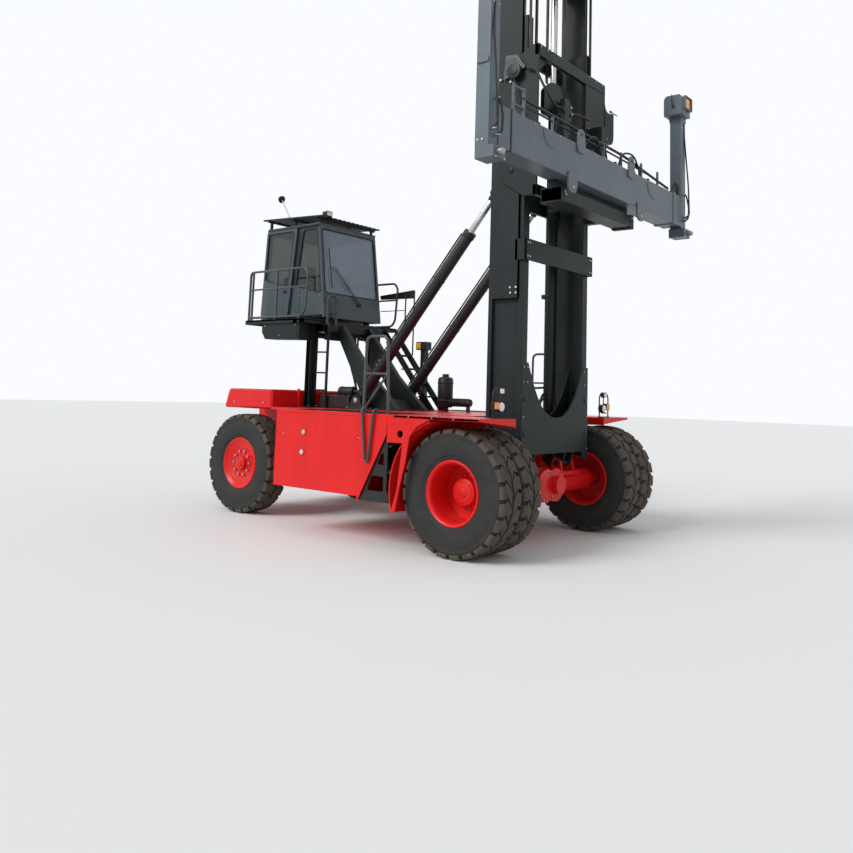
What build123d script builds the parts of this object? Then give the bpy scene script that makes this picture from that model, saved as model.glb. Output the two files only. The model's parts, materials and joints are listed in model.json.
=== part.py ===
"""Container-handling forklift truck with a two-stage mast and a side-lift spreader."""
import os
from math import atan2, cos, degrees, pi, radians, sin

from build123d import *

os.makedirs("parts", exist_ok=True)

# Everything is in millimetres. x runs forward from the front axle, y to the left, z up from the ground.
# At export each piece moves forward by AXLE_X, so that the origin lies under the middle of the truck.
AXLE_X = 2075

# Clearances
SEAT = 0.3
BEARING = 0.05
SLIDE = 6
EYE_GAP = 9

# Wheels
WHEELBASE = 4490
TYRE_R = 750
TYRE_W = 402
BEAD_R = 350
LIP_R = 380
RIM_W = 336
FRONT_OUTER_Y = 1758
FRONT_INNER_Y = 1325
REAR_Y = 1309
KINGPIN_Y = 1035
AXLE_Z = TYRE_R
STUB_R = 110
REAR_STUB_R = 60
KINGPIN_R = 32
LUG_DEPTH = 26
LUG_COUNT = 22

# Chassis
DECK_TOP = 1626
DECK_T = 40
SKIRT_Y = 2089
SKIRT_Z = 601
TANK_REAR = -2960
TANK_FRONT = -1376
RAIL_OUT = 600
RAIL_IN = 520
TAIL_X = -5225
HOOD_Y = 1393
HOOD_TOP = 1886

# Mast
MAST_FRONT = 300
MAST_REAR = -225
MAST_IN = 580
MAST_OUT = 745
MAST_LOW = 1100
MAST_TOP = 6950
FLANGE_T = 62
WEB_T = 40
HINGE_X = 60
HINGE_Z = 1010
STAGE_LOW = 3150
STAGE_TOP = 8300
TILT_Y = 440
TILT_TOP = (-400, 4670)
TILT_LOW = (-2860, 1760)
BARREL_R = 82
ROD_R = 45
BARREL_LEN = 3000

# Spreader
BEAM_FRONT = 947
BEAM_BACK = 640
BEAM_LOW = 4596
BEAM_TOP = 5073
BEAM_HALF = 2260
BEAM_WALL = 16
ARM_GAP = 6
POST_OUT = 2680
POST_IN = 2530
POST_TOP = 6300

# Cab
CAB_HALF = 654
CAB_FRONT = -3632
CAB_REAR = -5186
CAB_FLOOR = 3053
CAB_TOP = 4586
CAB_WALL = 50
PLATFORM_Z = 3000
PLATFORM_OUT = 1070
RAIL_R = 19


def box(x0, x1, y0, y1, z0, z1):
    """A block given by its limits."""
    middle = ((x0 + x1) / 2, (y0 + y1) / 2, (z0 + z1) / 2)
    return Pos(*middle) * Box(x1 - x0, y1 - y0, z1 - z0)


def side_plate(points, y0, y1):
    """A flat outline of (x, z) points, as thick as y0 to y1."""
    face = Plane(origin=(0, y1, 0), x_dir=(1, 0, 0), z_dir=(0, -1, 0)) * make_face(Polyline(*points, close=True))
    return extrude(face, amount=y1 - y0)


def front_plate(points, x0, x1):
    """A flat outline of (y, z) points, as thick as x0 to x1."""
    face = Plane(origin=(x0, 0, 0), x_dir=(0, 1, 0), z_dir=(1, 0, 0)) * make_face(Polyline(*points, close=True))
    return extrude(face, amount=x1 - x0)


def bar(start, end, radius):
    """A round bar between two points."""
    axis = Vector(*end) - Vector(*start)
    return extrude(Plane(origin=start, z_dir=axis) * Circle(radius), amount=axis.length)


def y_bar(x, z, radius, y0, y1):
    """A round bar along the truck's width."""
    return bar((x, y0, z), (x, y1, z), radius)


def hollow_y_bar(x, z, outer, inner, y0, y1):
    """A round sleeve along the truck's width."""
    return y_bar(x, z, outer, y0, y1) - y_bar(x, z, inner, y0 - 1, y1 + 1)


def rail(points, radius=RAIL_R):
    """A bent tube with square corners through the points."""
    path = Polyline(*points)
    start = Plane(origin=points[0], z_dir=path % 0)
    return sweep(start * Circle(radius), path=path, transition=Transition.RIGHT)


def other_side(shape):
    """The same shape on the truck's other side."""
    return mirror(shape, about=Plane.XZ)


def both(shape):
    """A shape with its twin on the other side, as separate solids."""
    return Compound(children=[*shape.solids(), *other_side(shape).solids()])


def join(*shapes):
    """One fused shape."""
    whole = shapes[0]
    for shape in shapes[1:]:
        whole = whole + shape
    return whole


def save(name, shape):
    """Writes a piece where it sits on the truck."""
    solids = [Pos(AXLE_X, 0, 0) * solid for solid in shape.solids()]
    whole = solids[0] if len(solids) == 1 else Compound(children=solids)
    export_step(whole, f"parts/{name}.step")


# Wheels: a tyre and a rim about the y axis, outer side towards -y

def tyre():
    """A heavy tyre with a full round shoulder, its width centred on y = 0."""
    half = TYRE_W / 2
    with BuildSketch(Plane.YZ) as section:
        with BuildLine():
            Polyline((-150, BEAD_R + SEAT), (150, BEAD_R + SEAT), (150, LIP_R + 4), (half - 16, 440), (half, 560))
            Polyline((half, 560), (half - 4, 680), (half - 28, TYRE_R - 14), (0, TYRE_R))
            Polyline((0, TYRE_R), (28 - half, TYRE_R - 14), (4 - half, 680), (-half, 560))
            Polyline((-half, 560), (16 - half, 440), (-150, LIP_R + 4), (-150, BEAD_R + SEAT))
        make_face()
    return revolve(section.sketch, axis=Axis.Y)


def ring(y0, y1, outer, inner):
    """A flat ring about the y axis."""
    return hollow_y_bar(0, 0, outer, inner, y0, y1)


def rim_barrel(y):
    """A rim's barrel with a lip at each edge, centred on y."""
    half = RIM_W / 2
    tube = ring(y - half, y + half, BEAD_R, BEAD_R - 22)
    near = ring(y - half, y - half + 14, LIP_R, BEAD_R - 22)
    far = ring(y + half - 14, y + half, LIP_R, BEAD_R - 22)
    return tube + near + far


def studs(y, circle, count, radius, length):
    """Wheel nuts on a circle, standing out towards -y."""
    nuts = []
    for k in range(count):
        angle = 2 * pi * k / count
        nuts.append(y_bar(circle * sin(angle), circle * cos(angle), radius, y - length, y + 1))
    return nuts


def at_wheel(x, shape):
    """Moves a wheel's shape from the origin to an axle."""
    return Pos(x, 0, AXLE_Z) * shape


rubber = tyre()
hub_y = -(FRONT_OUTER_Y + FRONT_INNER_Y) / 2
front_tyres = Pos(0, -FRONT_OUTER_Y, 0) * rubber, Pos(0, -FRONT_INNER_Y, 0) * rubber
front_right_tyres = at_wheel(0, Compound(children=[*front_tyres[0].solids(), *front_tyres[1].solids()]))
save("front_right_tyres", front_right_tyres)
save("front_left_tyres", other_side(front_right_tyres))

front_rim = join(
    rim_barrel(-FRONT_OUTER_Y),
    rim_barrel(-FRONT_INNER_Y),
    ring(-FRONT_OUTER_Y + RIM_W / 2 - 20, -FRONT_INNER_Y - RIM_W / 2 + 20, BEAD_R, BEAD_R - 22),
    ring(hub_y - 14, hub_y + 14, BEAD_R - 20, STUB_R + BEARING),
    ring(hub_y - 120, hub_y + 60, STUB_R + 50, STUB_R + BEARING),
    y_bar(0, 0, STUB_R + 50, hub_y - 150, hub_y - 110),
    y_bar(0, 0, 95, hub_y - 190, hub_y - 150),
    *studs(hub_y - 14, 235, 12, 17, 30),
)
front_right_rims = at_wheel(0, front_rim)
save("front_right_rims", front_right_rims)
save("front_left_rims", other_side(front_right_rims))

rear_right_tyre = at_wheel(-WHEELBASE, Pos(0, -REAR_Y, 0) * rubber)
save("rear_right_tyre", rear_right_tyre)
save("rear_left_tyre", other_side(rear_right_tyre))

disc_y = -REAR_Y - 100
rear_rim = join(
    rim_barrel(-REAR_Y),
    ring(disc_y - 12, disc_y + 12, BEAD_R - 20, REAR_STUB_R + BEARING),
    ring(disc_y - 40, disc_y + 150, 105, REAR_STUB_R + BEARING),
    y_bar(0, 0, 105, disc_y - 66, disc_y - 36),
    *studs(disc_y - 12, 180, 10, 16, 34),
)
rear_right_rim = at_wheel(-WHEELBASE, rear_rim)
save("rear_right_rim", rear_right_rim)
save("rear_left_rim", other_side(rear_right_rim))

# Drive axle: a banjo housing with the mast's hinge lugs on a shelf

HOUSING_END = 1150
lug_gap = 70
LUGS_Y = (330, 640)
housing = join(
    y_bar(0, AXLE_Z, 150, -HOUSING_END, HOUSING_END),
    y_bar(0, AXLE_Z, STUB_R, hub_y + 104 - 200, -hub_y - 104 + 200),
    bar((-190, 0, AXLE_Z), (250, 0, AXLE_Z), 215),
    bar((240, 0, AXLE_Z), (330, 0, AXLE_Z), 120),
    box(-190, 190, -740, 740, AXLE_Z + 100, AXLE_Z + 152),
    box(-200 + SEAT, -100, -RAIL_OUT, RAIL_OUT, 660, 840),
)
for side in (-1, 1):
    for lug in LUGS_Y:
        outline = [(HINGE_X - 90, AXLE_Z + 140), (HINGE_X + 90, AXLE_Z + 140), (HINGE_X + 62, HINGE_Z + 30)]
        outline += [(HINGE_X + 30, HINGE_Z + 62), (HINGE_X - 30, HINGE_Z + 62), (HINGE_X - 62, HINGE_Z + 30)]
        plate = side_plate(outline, side * lug - 20, side * lug + 20)
        housing = housing + (plate - y_bar(HINGE_X, HINGE_Z, 40 + BEARING, -1000, 1000))
save("drive_axle", housing)

# Steer axle and its knuckles

axle_x = -WHEELBASE
steer_axle = join(
    box(axle_x - 110, axle_x + 110, -900, 900, AXLE_Z - 110, AXLE_Z + 90),
    box(axle_x - 160, axle_x + 160, -560, 560, AXLE_Z + 80, 899.7),
)
for side in (-1, 1):
    eye = bar((axle_x, side * KINGPIN_Y, AXLE_Z - 95), (axle_x, side * KINGPIN_Y, AXLE_Z + 75), 72)
    arm = box(axle_x - 72, axle_x + 72, min(side * 880, side * KINGPIN_Y), max(side * 880, side * KINGPIN_Y), AXLE_Z - 95, AXLE_Z + 75)
    steer_axle = steer_axle + eye + arm
    pin_hole = bar((axle_x, side * KINGPIN_Y, 500), (axle_x, side * KINGPIN_Y, 1000), KINGPIN_R + BEARING)
    steer_axle = steer_axle - pin_hole
save("steer_axle", steer_axle)

fork_y = -KINGPIN_Y
knuckle = join(
    box(axle_x - 70, axle_x + 70, fork_y - 125, fork_y + 60, AXLE_Z + 80, AXLE_Z + 125),
    box(axle_x - 70, axle_x + 70, fork_y - 125, fork_y + 60, AXLE_Z - 145, AXLE_Z - 100),
    box(axle_x - 70, axle_x + 70, fork_y - 125, fork_y - 82, AXLE_Z - 145, AXLE_Z + 125),
    bar((axle_x, fork_y, AXLE_Z - 145), (axle_x, fork_y, AXLE_Z + 125), KINGPIN_R),
    y_bar(axle_x, AXLE_Z, REAR_STUB_R, disc_y - 30, fork_y - 100),
    y_bar(axle_x, AXLE_Z, 100, fork_y - 150, fork_y - 100),
)
save("right_knuckle", knuckle)
save("left_knuckle", other_side(knuckle))

# Chassis frame: two deep rails, cross members and the seats of the tilt cylinders

rail_outline = [(TAIL_X + 60, 900), (TAIL_X + 60, 1585), (-420, 1585), (-330, 1400), (-330, 1000), (-200, 900)]
rail_outline += [(-200, 620), (-620, 560), (-3500, 560), (-3800, 900)]
frame = join(
    side_plate(rail_outline, -RAIL_OUT, -RAIL_IN),
    side_plate(rail_outline, RAIL_IN, RAIL_OUT),
    box(TAIL_X + 60, TAIL_X + 110, -RAIL_OUT, RAIL_OUT, 900, 1585),
    box(-3560, -3500, -RAIL_OUT, RAIL_OUT, 560, 1585),
    box(-1300, -1240, -RAIL_OUT, RAIL_OUT, 560, 1585),
    box(-260, -200, -RAIL_OUT, RAIL_OUT, 620, 900),
)
save("chassis_frame", frame)

# Deck: the top plate with the cylinder clevises, and the rear wheel covers

deck_low = DECK_TOP - DECK_T
deck_outline = [(TANK_REAR, -SKIRT_Y), (-800, -SKIRT_Y), (-800, -1000), (-420, -1000), (-420, 1000), (-800, 1000)]
deck_outline += [(-800, SKIRT_Y), (TANK_REAR, SKIRT_Y), (TANK_REAR, HOOD_Y), (-3560, HOOD_Y), (-3560, -HOOD_Y), (TANK_REAR, -HOOD_Y)]
deck = extrude(Pos(0, 0, deck_low + SEAT) * make_face(Polyline(*deck_outline, close=True)), amount=DECK_T - SEAT)
low_x, low_z = TILT_LOW
for side in (-1, 1):
    for lug in (-70, 70):
        middle = side * TILT_Y + lug
        outline = [(low_x - 150, DECK_TOP - 1), (low_x + 150, DECK_TOP - 1), (low_x + 70, low_z + 50), (low_x, low_z + 85), (low_x - 70, low_z + 50)]
        deck = deck + side_plate(outline, middle - 18, middle + 18)
    deck = deck + y_bar(low_x, low_z, 40, side * TILT_Y - 95, side * TILT_Y + 95)
save("deck", deck)

# Tanks under the deck, with the truck's plain side panels

tank = box(TANK_REAR, TANK_FRONT, -SKIRT_Y, -RAIL_OUT - SEAT, SKIRT_Z, deck_low)
tank = tank - side_plate([(TANK_FRONT - 60, SKIRT_Z - 1), (TANK_FRONT + 1, SKIRT_Z - 1), (TANK_FRONT + 1, SKIRT_Z + 80)], -3000, 0)
save("side_tanks", both(tank))

# Fenders over the twin front wheels

FENDER_IN = 1320


def fender(front):
    """A front fender on the right side, reaching forward to front."""
    top = box(-830, front, -SKIRT_Y, -FENDER_IN, DECK_TOP - 34, DECK_TOP)
    rear = box(-830, -806, -SKIRT_Y, -FENDER_IN, 560, DECK_TOP)
    lip = box(front - 24, front, -SKIRT_Y, -FENDER_IN, DECK_TOP - 80, DECK_TOP)
    skirt = [(-830, 477), (-734, 477), (-700, 700), (-620, 1100), (-540, 1374), (-436, 1496), (-225, DECK_TOP - 20), (-225, DECK_TOP), (-830, DECK_TOP)]
    side = side_plate(skirt, -SKIRT_Y, -SKIRT_Y + 22)
    inner = [(-806, DECK_TOP), (front, DECK_TOP), (front - 40, DECK_TOP - 180), (-806, DECK_TOP - 180)]
    inside = side_plate(inner, -FENDER_IN - 20, -FENDER_IN) - y_bar(0, AXLE_Z, TYRE_R + 45, -3000, 0)
    return join(top, rear, lip, side, inside)


deck_notch = box(-2000, -800 + SEAT, -3000, 3000, deck_low - 50, DECK_TOP + 10)
right_fender = (fender(471) - deck_notch).solids()
left_fender = (other_side(fender(160)) - deck_notch).solids()
fenders = [max(right_fender, key=lambda s: s.volume), max(left_fender, key=lambda s: s.volume)]
save("front_fenders", Compound(children=fenders))

# Side steps between tank and fender

step_back = -1560


def steps():
    """The ladder on the right side."""
    rear_stile = side_plate([(-1376 + SEAT, 560), (-1330, 560), (-905, deck_low), (-1376 + SEAT, deck_low)], -SKIRT_Y + 20, -SKIRT_Y + 34)
    body = rear_stile
    front_stile = box(-850, -830 - SEAT, -SKIRT_Y + 20, step_back, 560, deck_low)
    body = body + front_stile + box(-1376 + SEAT, -1356, -SKIRT_Y + 20, step_back, 560, deck_low)
    for z in (566, 915, 1240):
        body = body + box(-1376 + SEAT, -830 - SEAT, -SKIRT_Y + 20, step_back, z - 20, z + 20)
    return body


save("side_steps", both(steps()))

# Counterweight and rear hood

weight = join(
    box(TAIL_X, -3900, -HOOD_Y, HOOD_Y, deck_low + 10, HOOD_TOP),
    box(TAIL_X, TAIL_X + 60 - SEAT, -560, 560, 700, deck_low + 10),
)
save("counterweight", weight)

# Engine block and its hood

engine = box(-3450, -2300, -360, 360, 700, 1560)
save("engine_block", engine)
hood = join(
    box(-3899, -3100, -HOOD_Y + 120, HOOD_Y - 120, DECK_TOP + SEAT, 1860),
)
save("engine_hood", hood)

# Exhaust on the left

exhaust = join(
    bar((-2100, 720, DECK_TOP + SEAT), (-2100, 720, DECK_TOP + 60), 60),
    bar((-2100, 720, DECK_TOP + 50), (-2100, 720, 2180), 130),
    bar((-2100, 720, 2170), (-2100, 720, 2420), 48),
)
save("exhaust", exhaust)

# Cab supports: posts, braces and an arched cross plate

support_top = PLATFORM_Z - 160
post = side_plate([(-4190, HOOD_TOP + SEAT), (-3960, HOOD_TOP + SEAT), (-3850, support_top), (-4190, support_top)], -640, -600)
brace = side_plate([(-3500, support_top), (-3180, support_top), (-2950, 2050), (-2260, DECK_TOP + SEAT), (-2900, DECK_TOP + SEAT), (-3080, 2050)], -640, -600)
cab_supports = join(
    post,
    brace,
    other_side(post),
    other_side(brace),
    box(-5100, -3180, -640, 640, support_top - 60, support_top),
)
save("cab_supports", cab_supports)

# Platform round the cab, with the ladders to it

platform = join(
    box(CAB_REAR + 120, CAB_FRONT, -PLATFORM_OUT, PLATFORM_OUT, support_top + SEAT, PLATFORM_Z),
)
save("platform", platform)

# Handrails

near_rail = [(-5000, -PLATFORM_OUT + 40, PLATFORM_Z), (-5000, -PLATFORM_OUT + 40, 3800), (-3760, -PLATFORM_OUT + 40, 3800), (-3680, -PLATFORM_OUT + 40, 3740), (-3680, -PLATFORM_OUT + 40, PLATFORM_Z)]
rails = [rail(near_rail), other_side(rail(near_rail))]
save("handrails", Compound(children=[s for r in rails for s in r.solids()]))

# Cab shell: floor, pillars and roof in one welding, with the openings cut

FRONT_LEAN = 220


def cab_outline(grow):
    """The cab's side outline, grown outwards by grow."""
    front = CAB_FRONT + grow
    rear = CAB_REAR - grow
    return [(rear, CAB_FLOOR - grow), (front, CAB_FLOOR - grow), (front, 3350), (front - FRONT_LEAN, CAB_TOP + grow), (rear, CAB_TOP + grow)]


shell = side_plate(cab_outline(0), -CAB_HALF, CAB_HALF) - side_plate(cab_outline(-CAB_WALL), -CAB_HALF + CAB_WALL, CAB_HALF - CAB_WALL)
DOOR = [(CAB_REAR + 70, CAB_FLOOR + 70), (-4240, CAB_FLOOR + 70), (-4240, CAB_TOP - 70), (CAB_REAR + 70, CAB_TOP - 70)]
SIDE_WINDOW = [(-4180, 3530), (-3760, 3400), (-3880, CAB_TOP - 80), (-4180, CAB_TOP - 80)]
shell = shell - side_plate(DOOR, -CAB_HALF - 10, -CAB_HALF + CAB_WALL + 1)
shell = shell - side_plate(SIDE_WINDOW, -CAB_HALF - 10, -CAB_HALF + CAB_WALL + 1)
left_window = [(CAB_REAR + 90, 3500), (-3780, 3500), (-3930, CAB_TOP - 80), (CAB_REAR + 90, CAB_TOP - 80)]
shell = shell - side_plate(left_window, CAB_HALF - CAB_WALL - 1, CAB_HALF + 10)
shell = shell - box(-3950, -3500, -CAB_HALF + 60, CAB_HALF - 60, 3460, CAB_TOP - 70)
shell = shell - box(CAB_REAR - 10, CAB_REAR + CAB_WALL + 1, -CAB_HALF + 80, CAB_HALF - 80, 3500, CAB_TOP - 80)
save("cab_shell", shell)

# Door on the right side

dx0 = CAB_REAR + 40
dx1 = -4210
dz0 = CAB_FLOOR + 50
dz1 = CAB_TOP - 45
door_y = -CAB_HALF - SLIDE
door = box(dx0, dx1, door_y - 40, door_y, dz0, dz1) - box(dx0 + 60, dx1 - 60, door_y - 41, door_y + 1, 3600, dz1 - 60)
save("cab_door", door)

# Seat and steering console

seat = join(
    box(-4850, -4350, -250, 250, 3330, 3470),
    box(-4930, -4820, -250, 250, 3400, 4050),
    box(-4800, -4400, -180, 180, CAB_FLOOR + CAB_WALL, 3340),
)
save("operator_seat", seat)
console = join(
    box(-4060, -3900, -90, 90, CAB_FLOOR + CAB_WALL, 3650),
    bar((-4060, 0, 3640), (-4110, 0, 3720), 190),
)
save("steering_console", console)

# Roof guard

guard_bars = []
for k in range(9):
    x = CAB_REAR + 60 + k * 160
    guard_bars.append(box(x, x + 40, -CAB_HALF + 20, CAB_HALF - 20, CAB_TOP + 60, CAB_TOP + 90))
guard = join(
    box(CAB_REAR, -3850, -CAB_HALF, -CAB_HALF + 40, CAB_TOP + SEAT, CAB_TOP + 100),
    box(CAB_REAR, -3850, CAB_HALF - 40, CAB_HALF, CAB_TOP + SEAT, CAB_TOP + 100),
    *guard_bars,
)
save("roof_guard", guard)

# Lamps on the fenders

lamp = join(
    box(300, 340, -1480, -1380, DECK_TOP + SEAT, 1760),
    box(290, 350, -1540, -1320, 1690, 1850),
)
lamp_left = Pos(-330, 0, 0) * other_side(lamp)
save("fender_lamps", Compound(children=[*lamp.solids(), *lamp_left.solids()]))

# Fixed mast: two I-beams, lower cross box, upper ties and the cylinder lugs


def i_beam(y_in, y_out, x0, x1, z0, z1, flange, web):
    """An upright I-beam with flanges across the truck."""
    middle = (y_in + y_out) / 2
    return join(
        box(x0, x0 + flange, y_in, y_out, z0, z1),
        box(x1 - flange, x1, y_in, y_out, z0, z1),
        box(x0, x1, middle - web / 2, middle + web / 2, z0, z1),
    )


right_beam = i_beam(-MAST_OUT, -MAST_IN, MAST_REAR, MAST_FRONT, MAST_LOW, MAST_TOP, FLANGE_T, WEB_T)
PLATE_T = 25
u_face = [(-MAST_OUT, 1060), (-MAST_OUT, 1160), (-560, 1165)]
plate = front_plate([(-MAST_OUT, 1045), (-590, 1060), (-560, 1160), (560, 1160), (590, 1060), (MAST_OUT, 1045), (MAST_OUT, 2330), (-MAST_OUT, 2330)], MAST_FRONT - 1, MAST_FRONT + PLATE_T)
u_cut = Plane(origin=(0, 0, 2330), x_dir=(0, 1, 0), z_dir=(1, 0, 0)) * Ellipse(MAST_IN, 700)
cut = extrude(u_cut, amount=900, both=True)
back_plate = box(150, 175, -MAST_IN - 1, MAST_IN + 1, 1160, 2330)
ties = join(
    box(MAST_REAR, MAST_REAR + 40, -MAST_IN - 1, MAST_IN + 1, 4500, 4850),
    box(MAST_REAR, MAST_REAR + 40, -MAST_IN - 1, MAST_IN + 1, 6650, 6900),
    box(MAST_REAR, MAST_REAR + 40, -MAST_IN - 1, MAST_IN + 1, 2500, 2700),
)
mast = join(right_beam, other_side(right_beam), plate - cut, back_plate - cut, box(150, MAST_FRONT, -MAST_IN - 1, MAST_IN + 1, 1160, 1185), ties)
top_x, top_z = TILT_TOP
for side in (-1, 1):
    for lug in (-62, 62):
        middle = side * TILT_Y + lug
        outline = [(MAST_REAR + 5, 4530), (MAST_REAR + 5, 4830), (top_x - 30, top_z + 60), (top_x - 62, top_z), (top_x - 30, top_z - 60)]
        mast = mast + side_plate(outline, middle - 16, middle + 16)
    mast = mast + y_bar(top_x, top_z, 35, side * TILT_Y - 85, side * TILT_Y + 85)
    for lug in (LUGS_Y[0] + 52, LUGS_Y[1] - 52):
        middle = side * lug
        outline = [(-40, 1185), (175, 1185), (HINGE_X + 60, HINGE_Z - 20), (HINGE_X, HINGE_Z - 62), (HINGE_X - 60, HINGE_Z - 20)]
        mast = mast + side_plate(outline, middle - 22, middle + 22)
    mast = mast + box(-60, 175, side * 485 - 180, side * 485 + 180, 1160, 1200)
    mast = mast + y_bar(HINGE_X, HINGE_Z, 40, side * 485 - 190, side * 485 + 190)
save("mast_frame", mast)

# Lift cylinders: barrels in the fixed mast, rods on the moving stage

LIFT_X = -60
LIFT_Y = 420
LIFT_R = 70
LIFT_ROD_R = 48
barrel = bar((LIFT_X, -LIFT_Y, 1200 + SEAT), (LIFT_X, -LIFT_Y, 5600), LIFT_R) - bar((LIFT_X, -LIFT_Y, 1500), (LIFT_X, -LIFT_Y, 5700), LIFT_ROD_R + BEARING)
save("lift_barrels", both(barrel))
rod = bar((LIFT_X, -LIFT_Y, 2600), (LIFT_X, -LIFT_Y, 8000 - SEAT), LIFT_ROD_R)
save("lift_rods", both(rod))

# Moving stage: channels running outside the fixed beams' webs, with cross ties

stage_in = (MAST_IN + MAST_OUT) / 2 + WEB_T / 2 + SLIDE
stage_out = 830
sx0 = MAST_REAR + FLANGE_T + SLIDE
sx1 = MAST_FRONT - FLANGE_T - SLIDE
channel = join(
    box(sx0, sx1, -stage_out, -stage_out + 45, STAGE_LOW, STAGE_TOP),
    box(sx0, sx0 + 45, -stage_out, -stage_in, STAGE_LOW, STAGE_TOP),
    box(sx1 - 45, sx1, -stage_out, -stage_in, STAGE_LOW, STAGE_TOP),
    box(sx1 - 45, MAST_FRONT + 60, -stage_out, -MAST_OUT - SLIDE, 3640, 3920),
)
tie = box(MAST_FRONT + PLATE_T + SLIDE, MAST_FRONT + 60, -stage_out, stage_out, 3640, 3920)
top_tie = box(sx0, sx1, -stage_out, stage_out, 8000, 8200)
stage = join(channel, other_side(channel), tie, top_tie)
save("mast_stage", stage)

# Carriage: rollers' frame in front of the mast, with the spreader's rails

cx0 = MAST_FRONT + 60 + SLIDE + 10
carriage = join(
    front_plate([(-1000, 4300), (1000, 4300), (1000, 5600), (1120, 5650), (1120, 6050), (900, 6180), (-900, 6180), (-1120, 6050), (-1120, 5650), (-1000, 5600)], cx0, cx0 + 60)
    - box(0, 900, -480, 480, 4700, 5900),
    box(cx0, 900, -1080, 1080, 4290, 4480),
)
save("carriage", carriage)

# Spreader: a hollow main beam, with an arm sliding out of each end

beam = box(BEAM_BACK, BEAM_FRONT, -BEAM_HALF, BEAM_HALF, BEAM_LOW, BEAM_TOP)
inner = box(BEAM_BACK + BEAM_WALL, BEAM_FRONT - BEAM_WALL, -BEAM_HALF - 1, BEAM_HALF + 1, BEAM_LOW + BEAM_WALL, BEAM_TOP - BEAM_WALL)
beam = beam - inner
save("spreader_beam", beam)

arm_x0 = BEAM_BACK + BEAM_WALL + ARM_GAP
arm_x1 = BEAM_FRONT - BEAM_WALL - ARM_GAP
arm_z0 = BEAM_LOW + BEAM_WALL + ARM_GAP
arm_z1 = BEAM_TOP - BEAM_WALL - ARM_GAP
arm_mid = (arm_x0 + arm_x1) / 2


def end_arm(x0, x1):
    """The right telescopic arm between x0 and x1, with its post, lamp head and lock."""
    arm = box(x0, x1, -POST_IN - 1, 1500, arm_z0, arm_z1)
    upright = box(747, 937, -POST_OUT, -POST_IN, 4560, POST_TOP)
    head = box(700, 1010, -POST_OUT - 20, -POST_IN + 120, POST_TOP - 10, 6500)
    lock = box(720, 1010, -POST_OUT, -POST_IN + 60, 4430, 4570)
    pin = bar((1000, -POST_OUT + 75, 4500), (1090, -POST_OUT + 75, 4500), 38)
    return join(arm, upright, head, lock, pin)


right_arm = end_arm(arm_x0, arm_mid - SLIDE / 2)
left_arm = other_side(end_arm(arm_mid + SLIDE / 2, arm_x1))
save("right_arm", right_arm)
save("left_arm", left_arm)

# Tilt cylinders

run = Vector(top_x - low_x, 0, top_z - low_z)
slope = run.normalized()


def along(distance, y):
    """A point on the tilt cylinder's axis, measured from its lower pin."""
    return (low_x + slope.X * distance, y, low_z + slope.Z * distance)


side_y = -TILT_Y
barrel_eye = y_bar(low_x, low_z, 75, side_y - 45, side_y + 45) - y_bar(low_x, low_z, 40 + BEARING, side_y - 60, side_y + 60)
neck = bar(along(30, side_y), along(210, side_y), 44) - y_bar(low_x, low_z, 60, side_y - 60, side_y + 60)
tube = bar(along(200, side_y), along(BARREL_LEN, side_y), BARREL_R) - bar(along(280, side_y), along(BARREL_LEN + 10, side_y), ROD_R + BEARING)
tilt_barrel = join(tube, neck, barrel_eye)
save("right_tilt_barrel", tilt_barrel)
save("left_tilt_barrel", other_side(tilt_barrel))
rod_eye = y_bar(top_x, top_z, 70, side_y - 40, side_y + 40) - y_bar(top_x, top_z, 35 + EYE_GAP, side_y - 60, side_y + 60)
rod_bar = bar(along(2000, side_y), along(run.length - 50, side_y), ROD_R)
tilt_rod = rod_bar + rod_eye
save("right_tilt_rod", tilt_rod)
save("left_tilt_rod", other_side(tilt_rod))
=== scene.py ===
import json
from math import cos, pi, radians, sin

import bpy
from mathutils import Matrix, Vector


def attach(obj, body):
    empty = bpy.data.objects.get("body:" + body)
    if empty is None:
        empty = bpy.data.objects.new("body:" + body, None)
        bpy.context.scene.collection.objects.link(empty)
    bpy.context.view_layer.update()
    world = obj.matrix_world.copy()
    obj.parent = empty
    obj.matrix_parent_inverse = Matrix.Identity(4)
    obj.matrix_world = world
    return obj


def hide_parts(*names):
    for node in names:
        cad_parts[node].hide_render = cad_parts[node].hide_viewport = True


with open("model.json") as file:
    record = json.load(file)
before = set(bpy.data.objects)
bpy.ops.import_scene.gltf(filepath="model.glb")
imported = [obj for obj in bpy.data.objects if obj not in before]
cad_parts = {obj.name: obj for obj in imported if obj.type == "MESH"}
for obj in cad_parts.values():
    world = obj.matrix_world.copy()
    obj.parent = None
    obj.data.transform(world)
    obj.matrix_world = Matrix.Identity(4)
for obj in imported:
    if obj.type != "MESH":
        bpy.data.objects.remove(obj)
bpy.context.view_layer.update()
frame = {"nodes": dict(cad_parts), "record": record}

# The front axle's place along the truck, the wheelbase and the tyres' radius, in metres.
# Points in millimetres are measured from the front axle's place on the ground, in the truck's middle.
AXLE_X = 2.075
WHEELBASE = 4.49
TYRE_R = 0.75
# The most of a straight run that a bend at its end may take up
BEND_SHARE = 0.45


# ---------------------------------------------------------------- tools of the workshop

def clear_selection():
    """Deselects everything."""
    if bpy.context.object and bpy.context.object.mode != "OBJECT":
        bpy.ops.object.mode_set(mode="OBJECT")
    bpy.ops.object.select_all(action="DESELECT")


def pick(piece):
    """Makes one piece the only selected and active one."""
    clear_selection()
    piece.select_set(True)
    bpy.context.view_layer.objects.active = piece
    return piece


def settle(piece):
    """Puts a piece's place into its mesh, so that its object sits at the origin."""
    pick(piece)
    bpy.ops.object.transform_apply(location=True, rotation=True, scale=True)
    return piece


def new_piece(name, data):
    """A new object in the scene for a mesh, curve, light or camera."""
    piece = bpy.data.objects.new(name, data)
    bpy.context.scene.collection.objects.link(piece)
    return piece


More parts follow.
